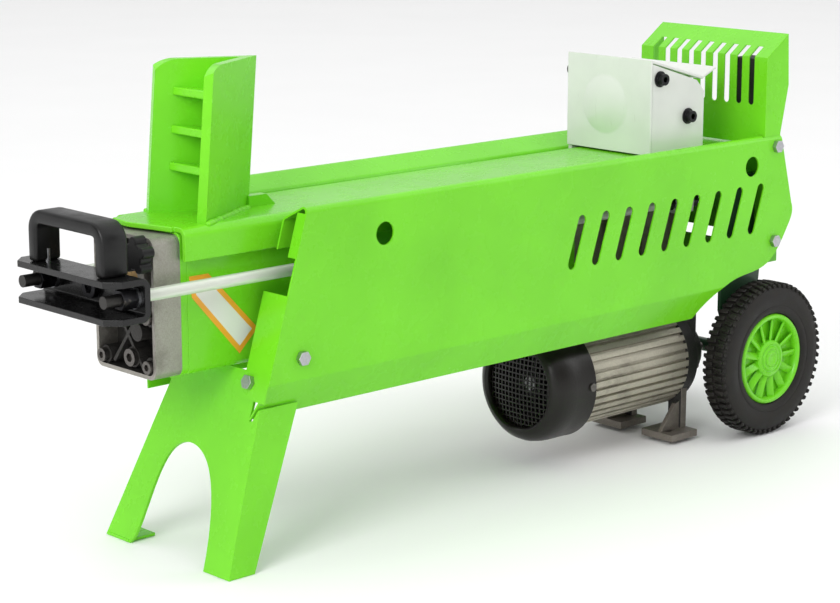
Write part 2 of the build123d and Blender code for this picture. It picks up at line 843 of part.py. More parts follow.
handle_half = 61.0
handle_h = 51.0
handle_d = 29.0
handle_t = 11.0
handle_x = cross_front + 21.5
with BuildPart() as carry_handle:
    with BuildSketch(Plane.YZ.offset(handle_x - handle_d / 2)):
        with BuildLine():
            FilletPolyline(
                (-handle_half + handle_t / 2, cross_top),
                (-handle_half + handle_t / 2, cross_top + handle_h - handle_t / 2),
                (handle_half - handle_t / 2, cross_top + handle_h - handle_t / 2),
                (handle_half - handle_t / 2, cross_top),
                radius=12,
            )
            offset(amount=handle_t / 2, side=Side.BOTH)
        make_face()
        with Locations((0, cross_top - 5)):
            Rectangle(200, 10, mode=Mode.SUBTRACT)
        for s in (-1, 1):
            with Locations((s * 49, cross_top + 3)):
                Rectangle(14, 6)
    extrude(amount=handle_d)
    with BuildSketch(Plane.XY.offset(cross_top)):
        for s in (-1, 1):
            with Locations((handle_x, s * 50)):
                Circle(3)
    extrude(amount=12, mode=Mode.SUBTRACT)
carry_handle.part.label = "carry_handle"
export_step(carry_handle.part, "parts/carry_handle.step")

with BuildPart() as handle_screws:
    for s in (-1, 1):
        with BuildSketch(Plane.XY.offset(cross_top - flange_t - 4)):
            with Locations((handle_x, s * 50)):
                RegularPolygon(5, 6, major_radius=False)
        extrude(amount=4)
        with BuildSketch(Plane.XY.offset(cross_top - flange_t)):
            with Locations((handle_x, s * 50)):
                Circle(3)
        extrude(amount=flange_t + 12)
handle_screws.part.label = "handle_screws"
export_step(handle_screws.part, "parts/handle_screws.step")

lug_x = pusher_x + 36.0
lug_w = 28.0
web_front = web_rear - web_t
with BuildPart() as tie_rods:
    for s in (-1, 1):
        with BuildSketch(Plane.YZ.offset(cross_front + 2.5)):
            with Locations((s * rod_y, rod_z)):
                Circle(rod_r)
        extrude(amount=lug_x + lug_w + 14 - cross_front - 2.5)
tie_rods.part.label = "tie_rods"
export_step(tie_rods.part, "parts/tie_rods.step")

front_washer_t = 2.5
rear_washer_t = 2.0
with BuildPart() as tie_washers:
    for s in (-1, 1):
        with BuildSketch(Plane.YZ.offset(web_front - front_washer_t)):
            with Locations((s * rod_y, rod_z)):
                Circle(10.5)
                Circle(rod_r, mode=Mode.SUBTRACT)
        extrude(amount=front_washer_t)
        for wx in (lug_x - rear_washer_t, lug_x + lug_w):
            with BuildSketch(Plane.YZ.offset(wx)):
                with Locations((s * rod_y, rod_z)):
                    Circle(8.3)
                    Circle(rod_r, mode=Mode.SUBTRACT)
            extrude(amount=rear_washer_t)
tie_washers.part.label = "tie_washers"
export_step(tie_washers.part, "parts/tie_washers.step")

front_nut_w = 16.0
rear_nut_w = 8.0
with BuildPart() as ram_nuts:
    for s in (-1, 1):
        with BuildSketch(Plane.YZ.offset(web_front - front_washer_t - front_nut_w)):
            with Locations((s * rod_y, rod_z)):
                RegularPolygon(9, 6, major_radius=False)
                Circle(rod_r, mode=Mode.SUBTRACT)
        extrude(amount=front_nut_w)
        for wx in (lug_x - rear_washer_t - rear_nut_w, lug_x + lug_w + rear_washer_t):
            with BuildSketch(Plane.YZ.offset(wx)):
                with Locations((s * rod_y, rod_z)):
                    RegularPolygon(8, 6, major_radius=False)
                    Circle(rod_r, mode=Mode.SUBTRACT)
            extrude(amount=rear_nut_w)
    with BuildSketch(Plane.YZ.offset(piston_x + piston_w)):
        with Locations((0, rod_z)):
            RegularPolygon(15, 6, major_radius=False)
    extrude(amount=10)
    with BuildSketch(Plane.YZ.offset(web_rear - web_t - 6)):
        with Locations((0, rod_z)):
            Circle(10.5)
            RegularPolygon(5, 6, major_radius=False, mode=Mode.SUBTRACT)
    extrude(amount=6)
ram_nuts.part.label = "ram_nuts"
export_step(ram_nuts.part, "parts/ram_nuts.step")

side_t = 5.2
core_x = pusher_x + 3.0
side_in = pusher_half - side_t
lug_out = rod_y + 9.0
with BuildPart() as pusher_sides:
    for s in (-1, 1):
        with BuildSketch(Plane.XZ.offset(-s * pusher_half)):
            with BuildLine():
                Polyline(
                    (core_x, deck_z + 104),
                    (core_x + 74, deck_z + 81),
                    (core_x + 87, deck_z + 68),
                    (core_x + 87, deck_z - 20),
                    (lug_x + lug_w, rod_z + 12),
                    (lug_x + lug_w, rod_z - 12),
                    (lug_x, rod_z - 12),
                    (lug_x, rod_z + 12),
                    (core_x, deck_z - 20),
                    close=True,
                )
            make_face()
        extrude(amount=s * side_t)
        # lug for the tie rod
        with BuildSketch(Plane.YZ.offset(lug_x)):
            with Locations((s * (side_in + lug_out) / 2, rod_z)):
                Rectangle(lug_out - side_in, 24)
        extrude(amount=lug_w)
        # keeper under the deck edge
        with BuildSketch(Plane.YZ.offset(core_x + 20)):
            with Locations((s * (side_in + beam_half + 1) / 2, deck_z - deck_drop - 4.5)):
                Rectangle(side_in - beam_half - 1, 7)
        extrude(amount=52)
        with BuildSketch(Plane.YZ.offset(core_x)):
            with Locations((s * rod_y, rod_z)):
                Circle(rod_r + bolt_gap)
        extrude(amount=100, mode=Mode.SUBTRACT)
pusher_sides.part.label = "pusher_sides"
export_step(pusher_sides.part, "parts/pusher_sides.step")

pad_t = 3.0
pad_top = deck_z + slide_gap + pad_t
with BuildPart() as pusher_core:
    with BuildSketch(Plane.XZ):
        with BuildLine():
            Polyline(
                (core_x, pad_top),
                (core_x, deck_z + 101.5),
                (core_x + 10, deck_z + 98.5),
                (core_x + 10, pad_top + 10),
                (core_x + 80, pad_top + 10),
                (core_x + 80, pad_top),
                close=True,
            )
        make_face()
    extrude(amount=side_in, both=True)
    with BuildSketch(Plane.XZ):
        with BuildLine():
            Polyline(
                (core_x + 5, deck_z + 90),
                (core_x + 14, deck_z + 90),
                (core_x + 72, deck_z + 30),
                (core_x + 72, deck_z + 10),
                (core_x + 5, deck_z + 10),
                close=True,
            )
        make_face()
    extrude(amount=6, both=True)
pusher_core.part.label = "pusher_core"
export_step(pusher_core.part, "parts/pusher_core.step")

with BuildPart() as slide_pads:
    for s in (-1, 1):
        with BuildSketch(Plane.XY.offset(deck_z + slide_gap)):
            with Locations((core_x + 42, s * 32)):
                Rectangle(70, 26)
        extrude(amount=pad_t)
slide_pads.part.label = "slide_pads"
export_step(slide_pads.part, "parts/slide_pads.step")

cover_t = 3.0
dome_r = 35.0
dome_h = 6.0
dome_z = deck_z + 54.0
dome_ball = (dome_r * dome_r + dome_h * dome_h) / (2 * dome_h)
mid_x = math.sqrt(dome_ball * dome_ball - dome_r * dome_r / 4)
with BuildPart() as pusher_cover:
    with BuildSketch(Plane.XZ):
        with BuildLine():
            Polyline(
                (pusher_x, deck_z + 2),
                (pusher_x, deck_z + pusher_h),
                (pusher_x + 87, deck_z + 84.4),
                (pusher_x + 109, deck_z + 94.0),
                (pusher_x + 110, deck_z + 91.2),
                (pusher_x + 87, deck_z + 81.2),
                (pusher_x + cover_t, deck_z + pusher_h - 4.0),
                (pusher_x + cover_t, deck_z + 2),
                close=True,
            )
        make_face()
    extrude(amount=pusher_half, both=True)
    # pressed dome in the middle of the face
    with BuildSketch(Plane.XY.offset(dome_z)):
        with BuildLine():
            ThreePointArc(
                (pusher_x - dome_h, 5),
                (pusher_x + dome_ball - dome_h - mid_x, 5 + dome_r / 2),
                (pusher_x, 5 + dome_r),
            )
            Polyline((pusher_x, 5 + dome_r), (pusher_x + 1, 5 + dome_r), (pusher_x + 1, 5), (pusher_x - dome_h, 5))
        make_face()
    revolve(axis=Axis((pusher_x, 5, dome_z), (1, 0, 0)))
pusher_cover.part.label = "pusher_cover"
export_step(pusher_cover.part, "parts/pusher_cover.step")

bolt_spots = [(pusher_x + 14.2, deck_z + 87.0), (pusher_x + 62.4, deck_z + 41.6)]
with BuildPart() as pusher_bolts:
    for s in (-1, 1):
        for px, pz in bolt_spots:
            with BuildSketch(Plane.XZ.offset(-s * pusher_half)):
                with Locations((px, pz)):
                    Circle(9)
            extrude(amount=-s * 1.8)
            with BuildSketch(Plane.XZ.offset(-s * (pusher_half + 1.8))):
                with Locations((px, pz)):
                    Circle(6.5)
                    RegularPolygon(3, 6, major_radius=False, mode=Mode.SUBTRACT)
            extrude(amount=-s * 7)
            with BuildSketch(Plane.XZ.offset(-s * (pusher_half + 3))):
                with Locations((px, pz)):
                    Circle(6.5)
            extrude(amount=s * 1.5)
pusher_bolts.part.label = "pusher_bolts"
export_step(pusher_bolts.part, "parts/pusher_bolts.step")

# ---- motor, lying under the beam ----
fan_front = wedge_x + 364.0
fan_rim = wedge_x + 424.0
bell_x = wedge_x + 588.0
pump_x = wedge_x + 610.0
riser_x = wedge_x + 640.0
shaft_r = 8.0
gear_m = 1.6
gear_n = 12
gear_gap = gear_m * gear_n
stub_r = 5.5
driven_z = motor_z + gear_gap
motor_c = (motor_y, motor_z)

fins = 36
fin_t = 6.2
screw_angles = (58, 178, 298)


def radial_plane(ang, r):
    """Plane facing out of the motor at one fan-cover screw."""
    a = math.radians(ang)
    origin = (fan_rim - 6.5, motor_y + r * math.cos(a), motor_z + r * math.sin(a))
    return Plane(origin=origin, x_dir=(1, 0, 0), z_dir=(0, math.cos(a), math.sin(a)))


with BuildPart() as fan_cover:
    with BuildSketch(Plane.YZ.offset(fan_front)):
        with Locations(motor_c):
            Circle(fan_r)
    extrude(amount=fan_rim - fan_front)
    chamfer(fan_cover.faces().sort_by(Axis.X)[0].edges(), 16, 14)
    with BuildSketch(Plane.YZ.offset(fan_front + 3)):
        with Locations(motor_c):
            Circle(fan_r - 16)
    extrude(amount=20, mode=Mode.SUBTRACT)
    with BuildSketch(Plane.YZ.offset(fan_front + 19)):
        with Locations(motor_c):
            Circle(fan_r - 2.5)
    extrude(amount=80, mode=Mode.SUBTRACT)
    with BuildSketch(Plane.YZ.offset(fan_front)):
        with Locations(motor_c):
            for k in range(-4, 5):
                with Locations((0, k * 8.5)):
                    SlotOverall(2 * math.sqrt(42 ** 2 - (k * 8.5) ** 2), 4.5)
    extrude(amount=4, mode=Mode.SUBTRACT)
    for ang in screw_angles:
        with BuildSketch(radial_plane(ang, motor_r)):
            Circle(2.5)
        extrude(amount=20, mode=Mode.SUBTRACT)
        with BuildSketch(radial_plane(ang, fan_r - 0.3)):
            Circle(4.5)
        extrude(amount=5, mode=Mode.SUBTRACT)
fan_cover.part.label = "fan_cover"
export_step(fan_cover.part, "parts/fan_cover.step")

shield_x = fan_rim - 14.0
bearing_r = 17.5
with BuildPart() as motor_housing:
    with BuildSketch(Plane.YZ.offset(fan_rim - 14)):
        with Locations(motor_c):
            Circle(motor_r - 4)
            Circle(motor_r - 8, mode=Mode.SUBTRACT)
    extrude(amount=bell_x - fan_rim + 14)
    with BuildSketch(Plane.YZ.offset(fan_rim)):
        with Locations(motor_c):
            with PolarLocations(motor_r - 3, fins):
                Rectangle(6, fin_t)
            Circle(motor_r - 6, mode=Mode.SUBTRACT)
    extrude(amount=bell_x - fan_rim)
    # bosses that carry the fan cover
    with BuildSketch(Plane.YZ.offset(fan_rim - 12)):
        with Locations(motor_c):
            for ang in screw_angles:
                with Locations(Location((0, 0, 0), (0, 0, ang))):
                    with Locations((motor_r - 0.2, 0)):
                        Rectangle(10.8, 10)
    extrude(amount=11)
    for ang in screw_angles:
        with BuildSketch(radial_plane(ang, motor_r)):
            Circle(2.5)
        extrude(amount=8, mode=Mode.SUBTRACT)
    with BuildSketch(Plane.YZ.offset(shield_x)):
        with Locations(motor_c):
            Circle(motor_r - 8)
            Circle(bearing_r, mode=Mode.SUBTRACT)
    extrude(amount=11)
motor_housing.part.label = "motor_housing"
export_step(motor_housing.part, "parts/motor_housing.step")

with BuildPart() as motor_bearings:
    for bx in (shield_x, bell_x + 6):
        with BuildSketch(Plane.YZ.offset(bx)):
            with Locations(motor_c):
                Circle(bearing_r)
                Circle(shaft_r + turn_gap, mode=Mode.SUBTRACT)
        extrude(amount=11)
motor_bearings.part.label = "motor_bearings"
export_step(motor_bearings.part, "parts/motor_bearings.step")

core_len = 90.0
with BuildPart() as stator:
    with BuildSketch(Plane.YZ.offset(fan_rim + 35)):
        with Locations(motor_c):
            Circle(motor_r - 8)
            Circle(31, mode=Mode.SUBTRACT)
    extrude(amount=core_len)
    for bx in (fan_rim + 15, fan_rim + 35 + core_len):
        with BuildSketch(Plane.YZ.offset(bx)):
            with Locations(motor_c):
                Circle(motor_r - 11)
                Circle(33, mode=Mode.SUBTRACT)
        extrude(amount=20)
stator.part.label = "stator"
export_step(stator.part, "parts/stator.step")

with BuildPart() as rotor_core:
    with BuildSketch(Plane.YZ.offset(fan_rim + 35)):
        with Locations(motor_c):
            Circle(30.5)
            Circle(shaft_r, mode=Mode.SUBTRACT)
    extrude(amount=core_len)
rotor_core.part.label = "rotor_core"
export_step(rotor_core.part, "parts/rotor_core.step")

with BuildPart() as motor_shaft:
    with BuildSketch(Plane.YZ.offset(fan_front + 22)):
        with Locations(motor_c):
            Circle(shaft_r)
    extrude(amount=pump_x - 0.5 - fan_front - 22)
    with BuildSketch(Plane.YZ.offset(fan_front + 22)):
        with Locations(motor_c):
            Circle(stub_r)
    extrude(amount=pump_x + 26 - fan_front - 22)
motor_shaft.part.label = "motor_shaft"
export_step(motor_shaft.part, "parts/motor_shaft.step")

with BuildPart() as cooling_fan:
    with BuildSketch(Plane.YZ.offset(fan_front + 24)):
        with Locations(motor_c):
            Circle(16)
            with PolarLocations(33, 7):
                Rectangle(42, 3)
            Circle(shaft_r, mode=Mode.SUBTRACT)
    extrude(amount=18)
    with BuildSketch(Plane.YZ.offset(fan_front + 40)):
        with Locations(motor_c):
            Circle(52)
            Circle(shaft_r, mode=Mode.SUBTRACT)
    extrude(amount=2)
cooling_fan.part.label = "cooling_fan"
export_step(cooling_fan.part, "parts/cooling_fan.step")

foot_low = 4.0
foot_x = wedge_x + 556.0
with BuildPart() as end_bell:
    with BuildSketch(Plane.YZ.offset(bell_x)):
        with Locations(motor_c):
            Circle(motor_r)
    extrude(amount=pump_x - bell_x)
    chamfer(end_bell.faces().sort_by(Axis.X)[-1].edges(), 6)
    for s in (-1, 1):
        with BuildSketch(Plane.XY.offset(foot_low)):
            with Locations((foot_x + 22, motor_y + s * 39.5)):
                Rectangle(44, 47)
                with Locations((-6, s * 6)):
                    SlotOverall(16, 8, mode=Mode.SUBTRACT)
        extrude(amount=8)
        with BuildSketch(Plane.YZ.offset(bell_x)):
            with Locations((motor_y + s * 38, (foot_low + motor_z - 30) / 2)):
                Rectangle(20, motor_z - 30 - foot_low)
        extrude(amount=9)
        with BuildSketch(Plane.XZ.offset(-(motor_y + s * 42))):
            with BuildLine():
                Polyline(
                    (foot_x + 1, foot_low + 8),
                    (bell_x, foot_low + 8),
                    (bell_x, motor_z - 48),
                    (bell_x - 6, motor_z - 50),
                    close=True,
                )
            make_face()
        extrude(amount=2.5, both=True)
    # hollow behind the outer face
    with BuildSketch(Plane.YZ.offset(bell_x)):
        with Locations(motor_c):
            Circle(motor_r - 8)
            Circle(bearing_r + 5, mode=Mode.SUBTRACT)
    extrude(amount=12, mode=Mode.SUBTRACT)
    with BuildSketch(Plane.YZ.offset(bell_x)):
        with Locations(motor_c):
            Circle(bearing_r)
    extrude(amount=17, mode=Mode.SUBTRACT)
    with BuildSketch(Plane.YZ.offset(bell_x)):
        with Locations(motor_c):
            Circle(shaft_r + 1)
    extrude(amount=40, mode=Mode.SUBTRACT)
end_bell.part.label = "end_bell"
export_step(end_bell.part, "parts/end_bell.step")


def gear_outline(teeth, module, centre, turn):
    """Corner points of a spur gear with straight-sided involute teeth."""
    press = math.radians(25)
    pitch_r = teeth * module / 2
    base_r = pitch_r * math.cos(press)
    tip_r = pitch_r + 0.8 * module
    root_r = pitch_r - 1.05 * module
    inv = math.tan(press) - press
    half = math.pi / (2 * teeth) - 0.14 / pitch_r
    pts = []
    for k in range(teeth):
        mid = turn + 2 * math.pi * k / teeth
        side = [(root_r, half + inv)]
        for step in range(6):
            rr = base_r + (tip_r - base_r) * step / 5
            a = math.acos(min(1.0, base_r / rr))
            side.append((rr, half + inv - (math.tan(a) - a)))
        for rr, off in side:
            pts.append((centre[0] + rr * math.cos(mid - off), centre[1] + rr * math.sin(mid - off)))
        for rr, off in reversed(side):
            pts.append((centre[0] + rr * math.cos(mid + off), centre[1] + rr * math.sin(mid + off)))
    return pts


gear_x = pump_x + 4.0
gear_w = 18.0
with BuildPart() as drive_gear:
    with BuildSketch(Plane.YZ.offset(gear_x)):
        with BuildLine():
            Polyline(*gear_outline(gear_n, gear_m, motor_c, math.pi / 2), close=True)
        make_face()
        with Locations(motor_c):
            Circle(stub_r, mode=Mode.SUBTRACT)
    extrude(amount=gear_w)
drive_gear.part.label = "drive_gear"
export_step(drive_gear.part, "parts/drive_gear.step")

with BuildPart() as driven_gear:
    with BuildSketch(Plane.YZ.offset(gear_x)):
        with BuildLine():
            mesh_turn = -math.pi / 2 + math.pi / gear_n
            Polyline(*gear_outline(gear_n, gear_m, (motor_y, driven_z), mesh_turn), close=True)
        make_face()
    extrude(amount=gear_w)
    with BuildSketch(Plane.YZ.offset(pump_x + 1)):
        with Locations((motor_y, driven_z)):
            Circle(stub_r)
    extrude(amount=25)
driven_gear.part.label = "driven_gear"
export_step(driven_gear.part, "parts/driven_gear.step")

# ---- pump body with its riser up to the valve block ----
valve_front = wedge_x + 418.0
valve_rear = wedge_x + 600.0
valve_half = beam_half - 2.5
valve_low = deck_z - 140.0
valve_top = deck_z - 12.0
lid_x = gear_x + gear_w + slide_gap
gear_room = gear_n * gear_m / 2 + 0.8 * gear_m + slide_gap
pump_r = 34.0
pump_screw_r = 28.0
pump_screw_angles = (12, 168, 220, 270, 320)
pump_screw_spots = [
    (
        motor_y + pump_screw_r * math.cos(math.radians(ang)),
        motor_z + pump_screw_r * math.sin(math.radians(ang)),
    )
    for ang in pump_screw_angles
]
with BuildPart() as pump_body:
    with BuildSketch(Plane.YZ.offset(pump_x)):
        with Locations(motor_c):
            Circle(pump_r)
        with Locations((-12, (motor_z + valve_low) / 2)):
            Rectangle(60, valve_low - motor_z)
    extrude(amount=lid_x - pump_x)
    with BuildSketch(Plane.XY.offset(valve_low - 12)):
        with Locations(((valve_rear - 40 + riser_x) / 2, -12)):
            Rectangle(riser_x - valve_rear + 40, 60)
    extrude(amount=12)
    with BuildSketch(Plane.YZ.offset(gear_x - slide_gap)):
        for gz in (motor_z, driven_z):
            with Locations((motor_y, gz)):
                Circle(gear_room)
    extrude(amount=40, mode=Mode.SUBTRACT)
    with BuildSketch(Plane.YZ.offset(pump_x)):
        for gz in (motor_z, driven_z):
            with Locations((motor_y, gz)):
                Circle(stub_r + turn_gap)
    extrude(amount=10, mode=Mode.SUBTRACT)
    with BuildSketch(Plane.YZ.offset(pump_x + 5)):
        with Locations(*pump_screw_spots):
            Circle(2.5)
    extrude(amount=40, mode=Mode.SUBTRACT)
    with BuildSketch(Plane.XY.offset(valve_low - 12)):
        for s in (-1, 1):
            with Locations((valve_rear - 20, -12 + s * 20)):
                Circle(4)
    extrude(amount=12, mode=Mode.SUBTRACT)
pump_body.part.label = "pump_body"
export_step(pump_body.part, "parts/pump_body.step")

with BuildPart() as pump_lid:
    with BuildSketch(Plane.YZ.offset(lid_x)):
        with Locations(motor_c):
            Circle(pump_r)
    extrude(amount=riser_x - lid_x)
    fillet(pump_lid.faces().sort_by(Axis.X)[-1].edges(), 2)
    with BuildSketch(Plane.YZ.offset(lid_x)):
        for gz in (motor_z, driven_z):
            with Locations((motor_y, gz)):
                Circle(stub_r + turn_gap)
    extrude(amount=5, mode=Mode.SUBTRACT)
    with BuildSketch(Plane.YZ.offset(lid_x)):
        with Locations(*pump_screw_spots):
            Circle(2.5)
    extrude(amount=20, mode=Mode.SUBTRACT)
pump_lid.part.label = "pump_lid"
export_step(pump_lid.part, "parts/pump_lid.step")

with BuildPart() as motor_screws:
    for ang in screw_angles:
        with BuildSketch(radial_plane(ang, fan_r - 0.3)):
            Circle(4.5)
        extrude(amount=2.3)
        with BuildSketch(radial_plane(ang, motor_r)):
            Circle(2.5)
        extrude(amount=fan_r - motor_r)
    for spot in pump_screw_spots:
        with BuildSketch(Plane.YZ.offset(riser_x)):
            with Locations(spot):
                Circle(4.5)
                RegularPolygon(2, 6, major_radius=False, mode=Mode.SUBTRACT)
        extrude(amount=4)
        with BuildSketch(Plane.YZ.offset(pump_x + 5)):
            with Locations(spot):
                Circle(2.5)
        extrude(amount=riser_x + 1.5 - pump_x - 5)
    # two screws up into the valve block
    for s in (-1, 1):
        with BuildSketch(Plane.XY.offset(valve_low - 17)):
            with Locations((valve_rear - 20, -12 + s * 20)):
                RegularPolygon(6.5, 6, major_radius=False)
        extrude(amount=5)
        with BuildSketch(Plane.XY.offset(valve_low - 12)):
            with Locations((valve_rear - 20, -12 + s * 20)):
                Circle(4)
        extrude(amount=27)
motor_screws.part.label = "motor_screws"
export_step(motor_screws.part, "parts/motor_screws.step")

# ---- valve block, spool and control lever ----
spool_y = 25.0
spool_z = deck_z - 75.0
spool_r = 6.0
spool_x = wedge_x + 470.0
spool_end = wedge_x + 622.0
pivot_x = wedge_x + 616.3
pivot_z = spool_z + 40.0
pin_r = 4.0
fork_r = 4.0
with BuildPart() as valve_block:
    with BuildSketch(Plane.YZ.offset(valve_front)):
        with Locations((0, (valve_low + valve_top) / 2)):
            RectangleRounded(2 * valve_half, valve_top - valve_low, 5)
    extrude(amount=valve_rear - valve_front)
    # cast reliefs along both sides
    with BuildSketch(Plane.XZ):
        for k in range(3):
            with Locations((valve_front + 34 + 56 * k, (valve_low + valve_top) / 2)):
                RectangleRounded(46, 96, 6)
    extrude(amount=valve_half + 5, both=True, mode=Mode.SUBTRACT)
    with BuildSketch(Plane.XZ):
        with Locations(((valve_front + valve_rear) / 2, (valve_low + valve_top) / 2)):
            Rectangle(valve_rear - valve_front - 6, valve_top - valve_low - 10)
    extrude(amount=valve_half - 5, both=True)
    with BuildSketch(Plane.YZ.offset(spool_x - 12)):
        with Locations((spool_y, spool_z)):
            Circle(spool_r + turn_gap)
    extrude(amount=200, mode=Mode.SUBTRACT)
    with BuildSketch(Plane.YZ.offset(valve_rear - 22)):
        with Locations((-18, deck_z - 92)):
            Circle(7)
    extrude(amount=22, mode=Mode.SUBTRACT)
    with BuildSketch(Plane.XY.offset(valve_low)):
        for s in (-1, 1):
            with Locations((valve_rear - 20, -12 + s * 20)):
                Circle(4)
    extrude(amount=15, mode=Mode.SUBTRACT)
valve_block.part.label = "valve_block"
export_step(valve_block.part, "parts/valve_block.step")

with BuildPart() as spool:
    with BuildSketch(Plane.YZ.offset(spool_x)):
        with Locations((spool_y, spool_z)):
            Circle(spool_r)
    extrude(amount=spool_end - spool_x)
    for k in range(3):
        with BuildSketch(Plane.YZ.offset(spool_x + 24 + 34 * k)):
            with Locations((spool_y, spool_z)):
                Circle(spool_r + 1)
                Circle(spool_r - 2, mode=Mode.SUBTRACT)
        extrude(amount=14, mode=Mode.SUBTRACT)
    # fork for the lever tongue, open at the top
    with BuildSketch(Plane.XZ.offset(-spool_y)):
        with Locations((pivot_x, spool_z + 1)):
            Rectangle(2 * fork_r + 0.2, 2 * fork_r + 8)
    extrude(amount=3.3, both=True, mode=Mode.SUBTRACT)
spool.part.label = "spool"
export_step(spool.part, "parts/spool.step")

with BuildPart() as plugs:
    with BuildSketch(Plane.YZ.offset(cover_front - 2)):
        with Locations((-8, box_low + 17)):
            Circle(8.5)
            RegularPolygon(4, 6, major_radius=False, mode=Mode.SUBTRACT)
    extrude(amount=5)
    with BuildSketch(Plane.YZ.offset(cover_front + 2)):
        with Locations((-8, box_low + 17)):
            Circle(6)
    extrude(amount=cover_len - 2)
    with BuildSketch(Plane.YZ.offset(valve_rear - 20)):
        with Locations((-18, deck_z - 92)):
            Circle(7)
    extrude(amount=20)
    with BuildSketch(Plane.YZ.offset(valve_rear)):
        with Locations((-18, deck_z - 92)):
            RegularPolygon(9, 6, major_radius=False)
    extrude(amount=8)
    with BuildSketch(Plane.YZ.offset(valve_rear + 8)):
        with Locations((-18, deck_z - 92)):
            Circle(4)
    extrude(amount=8)
plugs.part.label = "plugs"
export_step(plugs.part, "parts/plugs.step")

cheek_in = 5.0
with BuildPart() as lever_bracket:
    with BuildSketch(Plane.YZ.offset(valve_rear)):
        with Locations((spool_y - 2, pivot_z - 3)):
            RectangleRounded(44, 40, 4)
    extrude(amount=3)
    for s in (-1, 1):
        with BuildSketch(Plane.XZ.offset(-(spool_y + s * cheek_in))):
            with BuildLine():
                Polyline(
                    (valve_rear, pivot_z - 10),
                    (valve_rear + 24, pivot_z - 7),
                    (valve_rear + 24, pivot_z + 7),
                    (valve_rear, pivot_z + 12),
                    close=True,
                )
            make_face()
        extrude(amount=-s * 3)
    with BuildSketch(Plane.XZ.offset(-spool_y)):
        with Locations((pivot_x, pivot_z)):
            Circle(pin_r)
    extrude(amount=20, both=True, mode=Mode.SUBTRACT)
    with BuildSketch(Plane.XZ.offset(-spool_y)):
        with Locations((pivot_x, pivot_z)):
            Circle(pin_r)
    extrude(amount=12, both=True)
    with BuildSketch(Plane.XZ.offset(-(spool_y - 12))):
        with Locations((pivot_x, pivot_z)):
            Circle(6)
    extrude(amount=2)
lever_bracket.part.label = "lever_bracket"
export_step(lever_bracket.part, "parts/lever_bracket.step")

lever_t = 6.0
knob_x = wedge_x + 755.0
lever_end_z = deck_z - 10.0
with BuildPart() as control_lever:
    with BuildSketch(Plane.XZ.offset(-spool_y)):
        with BuildLine():
            FilletPolyline(
                (pivot_x, pivot_z),
                (wedge_x + 700, pivot_z + 5),
                (wedge_x + 728, lever_end_z),
                (knob_x - 4, lever_end_z),
                radius=14,
            )
            offset(amount=4, side=Side.BOTH)
        make_face()
        with Locations((pivot_x, pivot_z)):
            Circle(9)
        with Locations((pivot_x, (pivot_z + spool_z) / 2)):
            Rectangle(6, pivot_z - spool_z)
        with Locations((pivot_x, spool_z)):
            Circle(fork_r)
        with Locations((pivot_x, pivot_z)):
            Circle(pin_r + turn_gap, mode=Mode.SUBTRACT)
    extrude(amount=lever_t / 2, both=True)
control_lever.part.label = "control_lever"
export_step(control_lever.part, "parts/control_lever.step")

with BuildPart() as lever_knob:
    with Locations((knob_x, spool_y, lever_end_z)):
        Sphere(13)
    with BuildSketch(Plane.YZ.offset(knob_x - 20)):
        with Locations((spool_y, lever_end_z)):
            Circle(7)
    extrude(amount=12)
    with BuildSketch(Plane.YZ.offset(knob_x - 30)):
        with Locations((spool_y, lever_end_z)):
            Rectangle(lever_t, 8)
    extrude(amount=30, mode=Mode.SUBTRACT)
lever_knob.part.label = "lever_knob"
export_step(lever_knob.part, "parts/lever_knob.step")

# ---- switch and its power inlet, inside the hood ----
switch_x = hood_x + sheet
switch_rear = wedge_x + 714.0
switch_y = -68.0
switch_w = 2 * (hood_half - sheet + switch_y)
button_z = deck_z + 80.0
inlet_z = deck_z + 52.0
button_r = 11.0
button_travel = 4.0
with BuildPart() as switch_box:
    with BuildSketch(Plane.YZ.offset(switch_x)):
        with Locations((switch_y, deck_z + 69)):
            RectangleRounded(switch_w, 60, 4)
    extrude(amount=switch_rear - switch_x)
    with BuildSketch(Plane.YZ.offset(switch_x + 3)):
        with Locations((switch_y, deck_z + 69)):
            Rectangle(switch_w - 6, 54)
    extrude(amount=switch_rear - switch_x - 6, mode=Mode.SUBTRACT)
    with BuildSketch(Plane.YZ.offset(switch_rear - 5)):
        with Locations((switch_y, button_z)):
            Circle(button_r + 2)
        with Locations((switch_y, inlet_z)):
            Circle(6)
    extrude(amount=10, mode=Mode.SUBTRACT)
    with BuildSketch(Plane.YZ.offset(switch_rear - 3)):
        with Locations((switch_y, button_z)):
            Circle(button_r + 2)
            Circle(button_r + slide_gap, mode=Mode.SUBTRACT)
    extrude(amount=3)
    with BuildSketch(Plane.YZ.offset(switch_rear)):
        with Locations((switch_y, button_z)):
            Circle(button_r + 4)
            Circle(button_r + slide_gap, mode=Mode.SUBTRACT)
    extrude(amount=3)
switch_box.part.label = "switch_box"
export_step(switch_box.part, "parts/switch_box.step")

with BuildPart() as start_button:
    with BuildSketch(Plane.YZ.offset(switch_rear - 10)):
        with Locations((switch_y, button_z)):
            Circle(button_r)
    extrude(amount=18)
    fillet(start_button.faces().sort_by(Axis.X)[-1].edges(), 1.5)
start_button.part.label = "start_button"
export_step(start_button.part, "parts/start_button.step")

